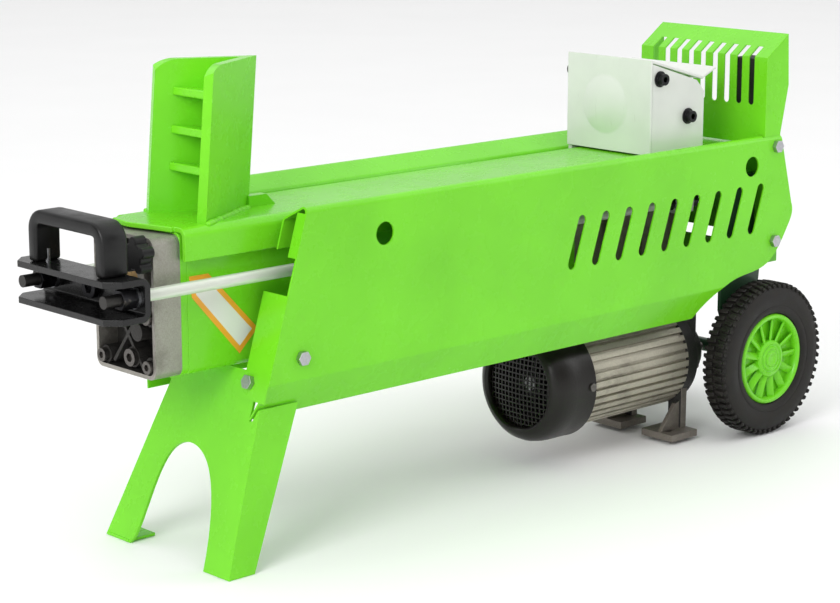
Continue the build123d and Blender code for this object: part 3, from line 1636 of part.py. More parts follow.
with BuildPart() as power_inlet:
    with BuildSketch(Plane.YZ.offset(switch_rear - 3)):
        with Locations((switch_y, inlet_z)):
            Circle(6)
    extrude(amount=3)
    with BuildSketch(Plane.YZ.offset(switch_rear)):
        with Locations((switch_y, inlet_z)):
            RegularPolygon(10, 6, major_radius=False)
    extrude(amount=6)
    with BuildSketch(Plane.YZ.offset(switch_rear + 6)):
        with Locations((switch_y, inlet_z)):
            Circle(8)
    extrude(amount=8)
    with BuildSketch(Plane.YZ.offset(switch_rear + 4)):
        with Locations((switch_y, inlet_z)):
            Circle(4.5)
    extrude(amount=12, mode=Mode.SUBTRACT)
power_inlet.part.label = "power_inlet"
export_step(power_inlet.part, "parts/power_inlet.step")

# ---- blank warning plate on the beam ----
with BuildPart() as warning_plate:
    with BuildSketch(Plane.XZ.offset(beam_half)):
        with BuildLine():
            Polyline(
                (wedge_x - 111, deck_z - 48),
                (wedge_x - 108, deck_z - 69),
                (wedge_x - 52, deck_z - 132),
                (wedge_x - 29, deck_z - 110),
                (wedge_x - 88, deck_z - 48),
                close=True,
            )
        make_face()
    extrude(amount=0.5)
warning_plate.part.label = "warning_plate"
export_step(warning_plate.part, "parts/warning_plate.step")
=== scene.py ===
import bpy
import math
from mathutils import Matrix, Vector


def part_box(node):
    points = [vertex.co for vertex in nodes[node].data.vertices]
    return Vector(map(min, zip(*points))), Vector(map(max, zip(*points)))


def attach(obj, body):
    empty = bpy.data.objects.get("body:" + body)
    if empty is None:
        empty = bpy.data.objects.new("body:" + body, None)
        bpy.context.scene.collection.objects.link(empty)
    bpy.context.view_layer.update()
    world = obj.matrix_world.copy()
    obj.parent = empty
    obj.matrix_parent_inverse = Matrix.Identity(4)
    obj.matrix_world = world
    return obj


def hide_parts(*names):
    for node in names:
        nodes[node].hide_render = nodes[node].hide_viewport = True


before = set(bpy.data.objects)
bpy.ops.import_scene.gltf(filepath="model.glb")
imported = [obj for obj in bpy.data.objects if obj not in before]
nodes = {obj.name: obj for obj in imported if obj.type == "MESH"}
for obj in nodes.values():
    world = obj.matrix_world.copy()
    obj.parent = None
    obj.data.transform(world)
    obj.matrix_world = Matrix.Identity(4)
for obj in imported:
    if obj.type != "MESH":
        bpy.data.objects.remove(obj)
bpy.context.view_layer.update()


class Sock:  # a socket that can be added, multiplied and so on
    def __init__(self, tree, out):
        self.tree, self.out = tree, out

    def math(self, operation, a, b=0.5):
        return self.tree.node("ShaderNodeMath", {"operation": operation, "use_clamp": False}, {0: a, 1: b})

    def __add__(self, other): return self.math("ADD", self, other)
    def __radd__(self, other): return self.math("ADD", other, self)
    def __mul__(self, other): return self.math("MULTIPLY", self, other)
    def __rmul__(self, other): return self.math("MULTIPLY", other, self)


class Shader:  # one material and the nodes in it
    def __init__(self, name):
        self.mat = bpy.data.materials.new(name)
        self.mat.use_nodes = True
        self.nt = self.mat.node_tree
        self.bsdf = self.nt.nodes["Principled BSDF"]
        self.coords = self.node("ShaderNodeTexCoord", out="Object")

    def node(self, kind, settings=None, inputs=None, out=0):
        n = self.nt.nodes.new(kind)
        for key, value in (settings or {}).items():
            setattr(n, key, value)
        for key, value in (inputs or {}).items():
            if isinstance(value, Sock):
                self.nt.links.new(value.out, n.inputs[key])
            else:
                n.inputs[key].default_value = value
        return Sock(self, n.outputs[out])

    def noise(self, scale, detail=4.0, rough=0.55, stretch=None):
        at = self.coords
        if stretch:
            at = self.node("ShaderNodeMapping", {}, {"Vector": at, "Scale": stretch})
        settings = {"Vector": at, "Scale": scale, "Detail": detail, "Roughness": rough}
        return self.node("ShaderNodeTexNoise", {}, settings)

    def band(self, fac, low, high):  # 0 below low, 1 above high
        return self.node("ShaderNodeMapRange", {}, {"Value": fac, "From Min": low, "From Max": high})

    def mix(self, fac, a, b):
        ends = {"Factor": fac, 6: rgba(a), 7: rgba(b)}  # sockets 6 and 7 are the two colours
        return self.node("ShaderNodeMix", {"data_type": "RGBA"}, ends, out=2)

    def bump(self, height, strength=0.2, distance=0.001):
        n = self.node("ShaderNodeBump", {}, {"Height": height, "Strength": strength, "Distance": distance})
        self.nt.links.new(n.out, self.bsdf.inputs["Normal"])

    def feed(self, **kw):  # Base_Color=..., Roughness=...
        for key, value in kw.items():
            socket = self.bsdf.inputs[key.replace("_", " ")]
            if isinstance(value, Sock):
                self.nt.links.new(value.out, socket)
            else:
                socket.default_value = rgba(value) if socket.type == "RGBA" else value


def rgba(c):
    if isinstance(c, Sock):
        return c
    return tuple(c) + (1.0,) if len(c) == 3 else tuple(c)


# the second tone is the same green paint darkened as painted shade, for the rear frame under the hood
paintLook = {"green": (0.175, 0.66, 0.016), "hoodShade": (0.10, 0.44, 0.012), "dust": (0.26, 0.40, 0.10)}


def greenPaint(name="greenPaint", tone="green", gloss=0.22):
    s = Shader(name)
    cloud = s.noise(7.0, 3.0)
    speck = s.noise(900.0, 2.0)
    drift = s.noise(38.0, 5.0, 0.6)
    a = paintLook[tone]
    b = tuple(v * 0.86 for v in a)
    colour = s.mix(s.band(cloud, 0.35, 0.7), a, b)
    colour = s.mix(s.band(drift, 0.66, 0.8) * 0.12, colour, paintLook["dust"])
    s.feed(Base_Color=colour, Roughness=gloss + 0.10 * s.band(drift, 0.45, 0.75) + 0.05 * cloud,
           Coat_Weight=0.12, Coat_Roughness=0.12, Specular_IOR_Level=0.28)
    s.bump(s.noise(260.0, 2.0, 0.5) + 0.25 * speck, 0.10, 0.0004)
    return s.mat


def plainPaint(name, colour, rough=0.35, peel=0.10, coat=0.2, shine=0.35):
    s = Shader(name)
    cloud = s.noise(9.0, 3.0)
    grime = s.noise(55.0, 6.0, 0.65)
    dark = tuple(v * 0.72 for v in colour)
    c = s.mix(s.band(cloud, 0.3, 0.75) * 0.6, colour, dark)
    s.feed(Base_Color=s.mix(s.band(grime, 0.62, 0.82) * 0.35, c, dark),
           Roughness=rough + 0.16 * s.band(grime, 0.45, 0.8), Coat_Weight=coat, Coat_Roughness=0.15,
           Specular_IOR_Level=shine)
    s.bump(s.noise(340.0, 2.0), peel, 0.0005)
    return s.mat


def blackPlastic(name="blackPlastic", rough=0.3, grain=0.18):
    s = Shader(name)
    cell = s.node("ShaderNodeTexVoronoi", {}, {"Vector": s.coords, "Scale": 1400.0})
    smear = s.noise(45.0, 4.0)
    s.feed(Base_Color=s.mix(s.band(smear, 0.4, 0.8), (0.004, 0.004, 0.004), (0.012, 0.012, 0.012)),
           Roughness=rough + 0.18 * s.band(smear, 0.4, 0.75), Specular_IOR_Level=0.3)
    s.bump(cell + 0.6 * s.noise(700.0, 2.0), grain, 0.0003)
    return s.mat


def zincPlate(name, colour, rough=0.3):
    s = Shader(name)
    spangle = s.noise(420.0, 5.0, 0.7)
    stain = s.noise(70.0, 4.0)
    c = s.mix(s.band(spangle, 0.35, 0.7), colour, tuple(v * 0.74 for v in colour))
    s.feed(Base_Color=s.mix(s.band(stain, 0.6, 0.8) * 0.5, c, (0.32, 0.29, 0.24)), Metallic=1.0,
           Roughness=rough + 0.2 * s.band(spangle, 0.4, 0.8))
    s.bump(spangle, 0.12, 0.0003)
    return s.mat


def paleRod(name, threadEnd):  # bright zinc bar whose ends are dark threaded studs
    s = Shader(name)
    x = s.node("ShaderNodeSeparateXYZ", {}, {"Vector": s.coords}, out="X")
    stud = s.node("ShaderNodeMapRange", {}, {"Value": x, "From Min": threadEnd, "From Max": threadEnd + 0.002,
                                             "To Min": 1.0, "To Max": 0.0})
    streak = s.noise(1.0, 4.0, 0.6, (6, 190, 190))
    c = s.mix(s.band(streak, 0.3, 0.8), (0.72, 0.76, 0.68), (0.52, 0.55, 0.48))
    turns = s.node("ShaderNodeMath", {"operation": "SINE"}, {0: x * 4500.0})
    s.feed(Base_Color=s.mix(stud, c, (0.05, 0.048, 0.045)), Metallic=0.35 + 0.5 * stud,
           Roughness=0.36 + 0.12 * s.band(streak, 0.4, 0.8))
    s.bump(turns * stud + 0.2 * streak, 0.4, 0.0004)
    return s.mat


def turnedSteel(name, colour, rough):
    s = Shader(name)
    rings = s.noise(1.0, 3.0, 0.6, (900, 30, 30))  # fine tool marks round the bar
    streak = s.noise(1.0, 4.0, 0.6, (4, 160, 160))
    c = s.mix(s.band(streak, 0.35, 0.75), colour, tuple(v * 0.8 for v in colour))
    s.feed(Base_Color=c, Metallic=1.0, Roughness=rough + 0.15 * s.band(rings, 0.3, 0.8))
    s.bump(rings, 0.05, 0.0002)
    return s.mat


def castMetal(name, colour, rough=0.42, metal=1.0, grit=0.5, dirt=(0.05, 0.045, 0.038)):
    s = Shader(name)
    sand = s.noise(520.0, 6.0, 0.75)
    pits = s.node("ShaderNodeTexVoronoi", {}, {"Vector": s.coords, "Scale": 620.0})
    cloud = s.noise(22.0, 5.0, 0.6)
    c = s.mix(s.band(sand, 0.3, 0.72), tuple(v * 0.72 for v in colour), colour)
    c = s.mix(s.band(cloud, 0.5, 0.78) * 0.55, c, dirt)
    s.feed(Base_Color=c, Metallic=metal, Roughness=rough + 0.25 * s.band(cloud, 0.4, 0.75))
    s.bump(sand + 0.5 * pits, grit, 0.0008)
    return s.mat


def tyreRubber(name="tyreRubber"):
    s = Shader(name)
    dust = s.noise(60.0, 5.0, 0.6)
    fine = s.noise(900.0, 3.0)
    s.feed(Base_Color=s.mix(s.band(dust, 0.4, 0.8), (0.007, 0.006, 0.005), (0.022, 0.019, 0.016)),
           Roughness=0.5 + 0.25 * s.band(dust, 0.35, 0.75), Specular_IOR_Level=0.3)
    s.bump(fine, 0.35, 0.0004)
    return s.mat


def greyEnamel(name="greyEnamel", colour=(0.68, 0.70, 0.66)):
    s = Shader(name)
    cloud = s.noise(14.0, 4.0)
    scuff = s.noise(1.0, 5.0, 0.6, (30, 220, 30))
    c = s.mix(s.band(cloud, 0.35, 0.75), colour, tuple(v * 0.9 for v in colour))
    c = s.mix(s.band(scuff, 0.63, 0.78) * 0.3, c, (0.42, 0.42, 0.38))
    s.feed(Base_Color=c, Roughness=0.3 + 0.22 * s.band(scuff, 0.4, 0.8),
           Coat_Weight=0.35, Coat_Roughness=0.12)
    s.bump(s.noise(300.0, 2.0), 0.1, 0.0004)
    return s.mat


green = greenPaint()
# painted shade: a darker copy of the green paint for the rear frame, which sits in the shade under the hood
greenHoodShade = greenPaint("greenPaintHoodShade", "hoodShade", 0.3)
darkGreen = plainPaint("darkGreenPaint", (0.02, 0.075, 0.03), 0.38)
blackPaint = plainPaint("blackPaint", (0.006, 0.006, 0.006), 0.22, 0.12, 0.12, 0.32)
motorBlack = plainPaint("motorCoverBlack", (0.008, 0.0065, 0.005), 0.3, 0.25, 0.05, 0.3)
plasticBlack = blackPlastic()
plasticMatt = blackPlastic("switchPlastic", 0.48, 0.3)
zinc = zincPlate("zincPlate", (0.50, 0.51, 0.53))
# dark zinc: the motor screws' own dark finish; on the cover screws inside the front pocket the darkness is
# painted shade of the recess
screwDarkAndPocketShade = zincPlate("cappedScrewAndPocketShade", (0.16, 0.15, 0.14), 0.4)
zincDark = zincPlate("blackBolt", (0.035, 0.035, 0.038), 0.36)
rodSteel = paleRod("tieRodSteel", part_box("crosshead")[1][0] - 0.004)
chromeRod = turnedSteel("chromedRod", (0.82, 0.83, 0.85), 0.08)
spunSteel = turnedSteel("spunSteel", (0.45, 0.45, 0.46), 0.34)
castGrey = castMetal("castAluminium", (0.42, 0.40, 0.36), 0.42, 0.85, 0.55)
# painted shade: the valve block's cast aluminium is made darker than the front cover's, standing in for the
# shade under the hood
castValveHoodShade = castMetal("valveCastingHoodShade", (0.30, 0.27, 0.22), 0.5, 0.7, 0.6)
castFins = castMetal("finnedHousing", (0.50, 0.47, 0.38), 0.4, 0.6, 0.35)
castBlack = castMetal("bellCasting", (0.028, 0.027, 0.026), 0.4, 0.2, 0.5, (0.05, 0.048, 0.045))
footGrey = castMetal("footCasting", (0.24, 0.215, 0.185), 0.42, 0.6, 0.5)
# painted shade: a near-black copy of the cast aluminium, darkening the front cover's pocket to stand in for
# the shade in the recess
castPocketShade = castMetal("pocketCastingShade", (0.055, 0.052, 0.048), 0.5, 0.5, 0.6, (0.02, 0.018, 0.015))
pumpGrey = castMetal("pumpCasting", (0.06, 0.058, 0.052), 0.45, 0.4, 0.5)
rubberTyre = tyreRubber()
enamel = greyEnamel()
bronze = turnedSteel("bronze", (0.50, 0.33, 0.14), 0.3)
copperWire = turnedSteel("copperWindings", (0.45, 0.20, 0.09), 0.4)
nylon = plainPaint("nylonPad", (0.03, 0.03, 0.028), 0.5, 0.2, 0.0)
fanBlack = plainPaint("fanPlastic", (0.012, 0.012, 0.012), 0.45, 0.15, 0.0)
rubberSeal = plainPaint("sealRubber", (0.015, 0.015, 0.015), 0.6, 0.3, 0.0)
buttonGreen = plainPaint("buttonGreen", (0.03, 0.35, 0.05), 0.25, 0.05, 0.4)

finishOf = {
    "beam_box": green, "deck_channel": green, "end_plates": green, "wedge_plates": green, "wedge_ribs": green,
    "side_panel_near": green, "side_panel_far": green, "front_leg": green, "guard_hood": green,
    # the rear frame takes the darker green copy: painted shade under the hood
    "rear_frame": greenHoodShade, "hub_near": green, "hub_far": green, "pusher_cover": enamel,
    "axle_brackets": darkGreen, "axle": darkGreen, "pusher_sides": enamel, "pusher_core": enamel,
    "lever_bracket": darkGreen, "carry_handle": plasticBlack, "bleed_knob": plasticBlack,
    "lever_knob": plasticBlack, "crosshead": blackPaint, "fan_cover": motorBlack, "pusher_bolts": zincDark,
    # the cover screws sit in the front pocket and take the dark zinc as painted shade
    "cover_screws": screwDarkAndPocketShade, "panel_bolts": zinc, "handle_screws": zinc, "tie_washers": zinc,
    "ram_nuts": zincDark, "axle_washers": zinc, "motor_screws": screwDarkAndPocketShade, "plugs": screwDarkAndPocketShade,
    "piston_rod": chromeRod, "tie_rods": rodSteel,
    # the valve block takes the shade-darkened cast aluminium
    "spool": chromeRod, "front_cover": castGrey, "valve_block": castValveHoodShade, "motor_housing": castFins,
    "pump_lid": pumpGrey, "end_bell": castBlack, "pump_body": pumpGrey, "piston": spunSteel,
    "cylinder_tube": spunSteel, "rotor_core": spunSteel, "motor_shaft": spunSteel,
    "motor_bearings": spunSteel,
    "drive_gear": spunSteel, "driven_gear": spunSteel, "control_lever": zincDark, "stator": copperWire,
    "rod_gland": bronze, "tyre_near": rubberTyre, "tyre_far": rubberTyre, "piston_seals": rubberSeal,
    "slide_pads": nylon, "cooling_fan": fanBlack, "switch_box": plasticMatt, "power_inlet": plasticMatt,
    "start_button": buttonGreen, "warning_plate": enamel,
}
for name, finish in finishOf.items():
    nodes[name].data.materials.clear()
    nodes[name].data.materials.append(finish)
print("finishes on", len(finishOf), "nodes")


def start():
    if bpy.context.mode != "OBJECT":
        bpy.ops.object.mode_set(mode="OBJECT")
    bpy.ops.object.select_all(action="DESELECT")


def pickOnly(piece):
    start()
    piece.select_set(True)
    bpy.context.view_layer.objects.active = piece


def settle(piece, smooth=35):  # place goes into the mesh, doubles merge, faces point out
    pickOnly(piece)
    bpy.ops.object.transform_apply(location=True, rotation=True, scale=True)
    bpy.ops.object.mode_set(mode="EDIT")
    bpy.ops.mesh.select_all(action="SELECT")
    bpy.ops.mesh.remove_doubles(threshold=0.00002)
    bpy.ops.mesh.normals_make_consistent(inside=False)
    bpy.ops.object.mode_set(mode="OBJECT")
    bpy.ops.object.shade_smooth_by_angle(angle=math.radians(smooth))
    return piece


def applyAll(piece):
    pickOnly(piece)
    for m in list(piece.modifiers):
        bpy.ops.object.modifier_apply(modifier=m.name)


def bevelled(piece, width, segments=2, angle=40):
    m = piece.modifiers.new("Bevel", "BEVEL")
    m.width, m.segments, m.limit_method, m.angle_limit = width, segments, "ANGLE", math.radians(angle)
    applyAll(piece)


def joined(pieces, name):
    start()
    for p in pieces:
        p.select_set(True)
    bpy.context.view_layer.objects.active = pieces[0]
    if len(pieces) > 1:
        bpy.ops.object.join()
    piece = bpy.context.object
    piece.name = piece.data.name = name
    return piece


def copyOf(piece, matrix):
    twin = piece.copy()
    twin.data = piece.data.copy()
    bpy.context.scene.collection.objects.link(twin)
    twin.matrix_world = matrix @ piece.matrix_world
    return twin


def lathe(name, profile, sides, closed=False):  # profile of (radius, height), turned about Z
    start()
    r, h = profile[0]
    bpy.ops.mesh.primitive_circle_add(vertices=sides, radius=r, location=(0, 0, 0))
    piece = bpy.context.object
    piece.name = name
    bpy.ops.object.mode_set(mode="EDIT")
    bpy.ops.mesh.select_all(action="SELECT")
    bpy.ops.transform.translate(value=(0, 0, h))
    last = (r, h)
    steps = profile[1:] + ([profile[0]] if closed else [])
    for r2, h2 in steps:
        bpy.ops.mesh.extrude_region()
        bpy.ops.transform.translate(value=(0, 0, h2 - last[1]))
        k = max(r2, 0.00005) / max(last[0], 0.00005)
        bpy.ops.transform.resize(value=(k, k, 1), center_override=(0, 0, h2))
        last = (r2, h2)
    if not closed:
        if last[0] < 0.0003:
            bpy.ops.mesh.merge(type="CENTER")
        else:
            bpy.ops.mesh.edge_face_add()
    bpy.ops.object.mode_set(mode="OBJECT")
    return piece


def block(size, place, turn=(0, 0, 0), bevel=0.0006, segments=2):
    start()
    bpy.ops.mesh.primitive_cube_add(size=1, location=place, rotation=turn)
    piece = bpy.context.object
    piece.scale = size
    bpy.ops.object.transform_apply(location=False, rotation=False, scale=True)
    if bevel:
        bevelled(piece, bevel, segments)
    return piece


def dress(piece, finish, body, slot, *replaced):
    piece.data.materials.clear()
    piece.data.materials.append(finish)
    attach(piece, body)
    if replaced:
        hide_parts(*replaced)


def middle(node):
    lo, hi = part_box(node)
    return (Vector(lo) + Vector(hi)) / 2


alongX = Matrix.Rotation(math.radians(90), 4, "Y")  # local +Z points to +X
alongFarY = Matrix.Rotation(math.radians(-90), 4, "X")  # local +Z points to +Y


softAngle = 38  # edges sharper than this many degrees are softened
softNodes = {  # bevel width, body and slot of each softened copy
    "side_panel_near": (0.0007, "frame", "green_paint"), "side_panel_far": (0.0007, "frame", "green_paint"),
    "front_leg": (0.0007, "frame", "green_paint"), "guard_hood": (0.0006, "frame", "green_paint"),
    "deck_channel": (0.0009, "frame", "green_paint"), "beam_box": (0.0008, "frame", "green_paint"),
    "wedge_ribs": (0.0012, "frame", "green_paint"), "end_plates": (0.0008, "frame", "green_paint"),
    "pusher_cover": (0.0008, "ram", "green_paint"), "pusher_sides": (0.0008, "ram", "dark_paint"),
    "crosshead": (0.0010, "ram", "black_steel"), "front_cover": (0.0012, "frame", "cast_alu"),
    "end_bell": (0.0014, "frame", "cast_dark"), "motor_housing": (0.0007, "frame", "cast_alu"),
    "valve_block": (0.0015, "frame", "cast_alu"), "rear_frame": (0.0006, "frame", "green_paint"),
    "axle_brackets": (0.0007, "frame", "dark_paint"), "pump_body": (0.0012, "frame", "cast_dark"),
    "pusher_bolts": (0.0007, "ram", "black_steel"), "panel_bolts": (0.0006, "frame", "zinc"),
    "ram_nuts": (0.0007, "ram", "zinc"), "cover_screws": (0.0006, "frame", "zinc"),
    "switch_box": (0.0008, "frame", "switch_plastic"), "bleed_knob": (0.0010, "bleed_screw", "black_plastic"),
}


def softened(node, width, body, slot):
    source = nodes[node]
    piece = source.copy()
    piece.data = source.data.copy()
    piece.name = node + "_soft"
    piece.parent = None
    piece.matrix_world = Matrix.Identity(4)
    bpy.context.scene.collection.objects.link(piece)
    for key in list(piece.keys()):
        del piece[key]
    pickOnly(piece)
    bpy.ops.object.mode_set(mode="EDIT")
    bpy.ops.mesh.select_all(action="SELECT")
    bpy.ops.mesh.remove_doubles(threshold=0.00001)
    bpy.ops.mesh.customdata_custom_splitnormals_clear()
    bpy.ops.mesh.dissolve_limited(angle_limit=math.radians(1.0), delimit=set())
    bpy.ops.object.mode_set(mode="OBJECT")
    m = piece.modifiers.new("Bevel", "BEVEL")
    m.width, m.segments, m.limit_method = width, 2, "ANGLE"
    m.angle_limit = math.radians(softAngle)
    piece.modifiers.new("Weighted", "WEIGHTED_NORMAL").keep_sharp = True
    bpy.ops.object.shade_smooth_by_angle(angle=math.radians(softAngle))
    applyAll(piece)
    dress(piece, finishOf[node], body, slot, node)
    return piece


# the second material is the foot's own colour on the end bell, and painted shade inside the front cover's
# pocket
def patch(piece, finish, test):  # faces whose middle passes the test take a second finish
    piece.data.materials.append(finish)
    for p in piece.data.polygons:
        if test(p.center):
            p.material_index = len(piece.data.materials) - 1


casting = {"footTop": 0.034, "face": 0.0015, "pocketDepth": 0.03, "wall": 0.005, "pocketLow": 0.004,
           "pocketTop": 0.075}
for node, (width, body, slot) in softNodes.items():
    piece = softened(node, width, body, slot)
    lo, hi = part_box(node)
    if node == "end_bell":
        patch(piece, footGrey, lambda c: c.z < lo[2] + casting["footTop"])
    # painted shade: faces inside the front cover's pocket take the darkened cast material, standing in for
    # the shade in the recess
    if node == "front_cover":
        patch(piece, castPocketShade, lambda c: lo[0] + casting["face"] < c.x < lo[0] + casting["pocketDepth"]
              and abs(c.y) < hi[1] - casting["wall"]
              and lo[2] + casting["pocketLow"] < c.z < lo[2] + casting["pocketTop"])
print("softened", len(softNodes), "pieces")


wheel = {"r": 0.090, "carcass": 0.0866, "bead": 0.053, "width": 0.034, "lugs": 60, "blades": 13,
         "cap": 0.0205, "lugSlant": 7, "tipDroop": 34, "bladeTilt": 30, "hubInset": 0.0145}


def tyrePiece(name):
    w, c, b = wheel["width"] / 2, wheel["carcass"], wheel["bead"]
    half = [(b, -w + 0.0055), (b + 0.0015, -w + 0.0026), (b + 0.0050, -w + 0.0008), (b + 0.0085, -w + 0.0002),
            (b + 0.0100, -w + 0.0009), (b + 0.0115, -w + 0.0002), (c - 0.0120, -w), (c - 0.0075, -w + 0.0006),
            (c - 0.0035, -w + 0.0018), (c - 0.0008, -w + 0.0038), (c, -w + 0.0060)]
    profile = half + [(r, -h) for r, h in reversed(half)]
    carcass = lathe(name, profile, 120, closed=True)
    carcass.matrix_world = alongFarY
    pickOnly(carcass)
    bpy.ops.object.transform_apply(location=True, rotation=True, scale=True)
    lugs = []
    for side in (-1, 1):
        slant = (0, 0, math.radians(wheel["lugSlant"] * side))
        droop = (math.radians(-wheel["tipDroop"] * side), 0, 0)
        lug = block((0.0052, 0.0118, 0.0050), (0, side * 0.0070, 0), slant, 0.0009, 1)
        tip = block((0.0046, 0.0040, 0.0042), (0, side * 0.0140, -0.0014), droop, 0.0008, 1)
        pair = joined([lug, tip], "lug")
        for i in range(wheel["lugs"]):
            a = 2 * math.pi * (i + (0.5 if side > 0 else 0)) / wheel["lugs"]
            up = Matrix.Translation((0, 0, wheel["r"] - 0.0026))
            lugs.append(copyOf(pair, Matrix.Rotation(a, 4, "Y") @ up))
        bpy.data.objects.remove(pair)
    return joined([carcass] + lugs, name)


def hubPiece(name):
    b, cap = wheel["bead"], wheel["cap"]
    rim = lathe(name, [
        (b, 0.013), (b, -0.0105), (b - 0.0012, -0.0122), (b - 0.0030, -0.0128), (b - 0.0048, -0.0122),
        (b - 0.0062, -0.0104), (b - 0.0068, -0.0060), (b - 0.0075, -0.0030), (0.022, -0.0030),
        (0.0082, -0.0030), (0.0082, 0.0), (0.019, 0.0), (b - 0.008, 0.002), (b - 0.005, 0.013)],
        96, closed=True)
    dial = lathe("dial", [
        (cap + 0.0012, -0.002), (cap + 0.0012, -0.0096), (cap, -0.0112), (cap - 0.0024, -0.0118),
        (cap - 0.0040, -0.0106), (cap - 0.0056, -0.0106), (cap - 0.0066, -0.0122),
        (cap - 0.0080, -0.0126), (cap - 0.0092, -0.0116), (cap - 0.0108, -0.0116),
        (cap - 0.0118, -0.0128), (cap - 0.0140, -0.0130), (0.0050, -0.0122), (0.0, -0.0124)],
        72)
    blade = block((0.0265, 0.0092, 0.0026), (0.0337, 0, -0.0070),
                  (math.radians(wheel["bladeTilt"]), 0, 0), 0.0010, 2)
    parts = [rim, dial]
    for i in range(wheel["blades"]):
        parts.append(copyOf(blade, Matrix.Rotation(2 * math.pi * i / wheel["blades"], 4, "Z")))
    bpy.data.objects.remove(blade)
    piece = joined(parts, name)
    piece.matrix_world = alongFarY  # local -Z faces -Y, the outside of the near wheel
    return piece


nearTyre = tyrePiece("tyre_near_tread")
nearTyre.matrix_world = Matrix.Translation(middle("tyre_near"))
settle(nearTyre, 40)
nearHub = hubPiece("hub_near_bladed")
axleX, axleZ = middle("tyre_near").x, middle("tyre_near").z
hubAt = Vector((axleX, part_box("tyre_near")[0][1] + wheel["hubInset"], axleZ))
nearHub.matrix_world = Matrix.Translation(hubAt) @ nearHub.matrix_world
settle(nearHub, 32)
flip = Matrix.Rotation(math.pi, 4, "Z")
for piece, name in ((nearTyre, "tyre_far_tread"), (nearHub, "hub_far_bladed")):
    twin = copyOf(piece, Matrix.Translation((2 * axleX, 0, 0)) @ flip)
    twin.name = name
    settle(twin, 35)
    if "tyre" in name:
        dress(twin, rubberTyre, "far_wheel", "tyre_rubber", "tyre_far")
    else:
        dress(twin, green, "far_wheel", "green_paint", "hub_far")
dress(nearTyre, rubberTyre, "near_wheel", "tyre_rubber", "tyre_near")
dress(nearHub, green, "near_wheel", "green_paint", "hub_near")
print("wheels made")


fan = {"r": 0.066, "open": 0.0475, "cells": 17, "wire": 0.0016, "dome": 0.004, "meshDepth": 0.0075}
fanLo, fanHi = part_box("fan_cover")
outer, depth, mouth = fan["r"], fanHi[0] - fanLo[0], fan["open"]
shell = lathe("fan_shroud", [
    (outer, depth), (outer, depth - 0.0015), (outer - 0.0004, depth - 0.003), (outer - 0.0004, depth - 0.030),
    (outer - 0.0008, 0.022), (outer - 0.0022, 0.014), (outer - 0.0052, 0.0072), (outer - 0.0100, 0.0026),
    (outer - 0.0135, 0.0008), (outer - 0.0160, 0.0004), (mouth + 0.0006, 0.0016), (mouth - 0.0004, 0.0042),
    (mouth - 0.0006, 0.0080), (mouth + 0.0016, 0.0086), (mouth + 0.0026, 0.0050), (outer - 0.0140, 0.0034),
    (outer - 0.0078, 0.0092), (outer - 0.0044, 0.0180), (outer - 0.0028, 0.026), (outer - 0.0025, depth)],
    112, closed=True)
start()
bpy.ops.mesh.primitive_grid_add(x_subdivisions=fan["cells"], y_subdivisions=fan["cells"],
                                size=2 * mouth + 0.002)
grille = bpy.context.object
bpy.ops.object.mode_set(mode="EDIT")
bpy.ops.mesh.select_all(action="SELECT")
bpy.ops.mesh.inset(thickness=fan["wire"] / 2, use_individual=True)
bpy.ops.mesh.delete(type="FACE")
bpy.ops.mesh.select_all(action="DESELECT")
bpy.ops.object.mode_set(mode="OBJECT")
for v in grille.data.vertices:
    v.select = math.hypot(v.co.x, v.co.y) > mouth + 0.0012
bpy.ops.object.mode_set(mode="EDIT")
bpy.ops.mesh.delete(type="VERT")
bpy.ops.object.mode_set(mode="OBJECT")
for v in grille.data.vertices:  # dished mesh
    v.co.z = fan["meshDepth"] - fan["dome"] * (1 - (math.hypot(v.co.x, v.co.y) / mouth) ** 2)
thick = grille.modifiers.new("Solidify", "SOLIDIFY")
thick.thickness, thick.offset = fan["wire"], 0
applyAll(grille)
shroud = joined([shell, grille], "fan_shroud")
shroud.matrix_world = Matrix.Translation((fanLo[0], middle("fan_cover").y, middle("fan_cover").z)) @ alongX
settle(shroud, 40)
dress(shroud, motorBlack, "frame", "black_steel", "fan_cover")
print("fan cover made")


handle = {"bar": 0.0135, "corner": 0.020, "steps": 7, "round": 0.0034}


def carryHandle():
    lo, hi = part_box("carry_handle")
    bar, corner = handle["bar"], handle["corner"]
    start()
    bpy.ops.mesh.primitive_plane_add(size=1, location=((lo[0] + hi[0]) / 2, lo[1] + bar / 2, lo[2]))
    grip = bpy.context.object
    grip.scale = (hi[0] - lo[0], bar, 1)
    bpy.ops.object.transform_apply(location=True, rotation=True, scale=True)
    bpy.ops.object.mode_set(mode="EDIT")
    bpy.ops.mesh.select_all(action="SELECT")
    bpy.ops.mesh.delete(type="ONLY_FACE")
    bpy.ops.mesh.select_mode(type="EDGE")
    bpy.ops.mesh.select_all(action="SELECT")
    rise = hi[2] - lo[2] - corner
    bpy.ops.mesh.extrude_edges_move(TRANSFORM_OT_translate={"value": (0, 0, rise)})
    bpy.ops.mesh.spin(steps=handle["steps"], angle=math.pi / 2, axis=(1, 0, 0),
                      center=(lo[0], lo[1] + corner, hi[2] - corner))
    bpy.ops.mesh.extrude_edges_move(TRANSFORM_OT_translate={"value": (0, hi[1] - lo[1] - 2 * corner, 0)})
    bpy.ops.mesh.spin(steps=handle["steps"], angle=math.pi / 2, axis=(1, 0, 0),
                      center=(lo[0], hi[1] - corner, hi[2] - corner))
    bpy.ops.mesh.extrude_edges_move(TRANSFORM_OT_translate={"value": (0, 0, -rise)})
    bpy.ops.mesh.select_all(action="SELECT")
    bpy.ops.mesh.remove_doubles(threshold=0.00002)
    bpy.ops.mesh.fill_holes(sides=0)
    bpy.ops.mesh.normals_make_consistent(inside=False)
    bpy.ops.object.mode_set(mode="OBJECT")
    bevelled(grip, handle["round"], 3, 50)
    return grip


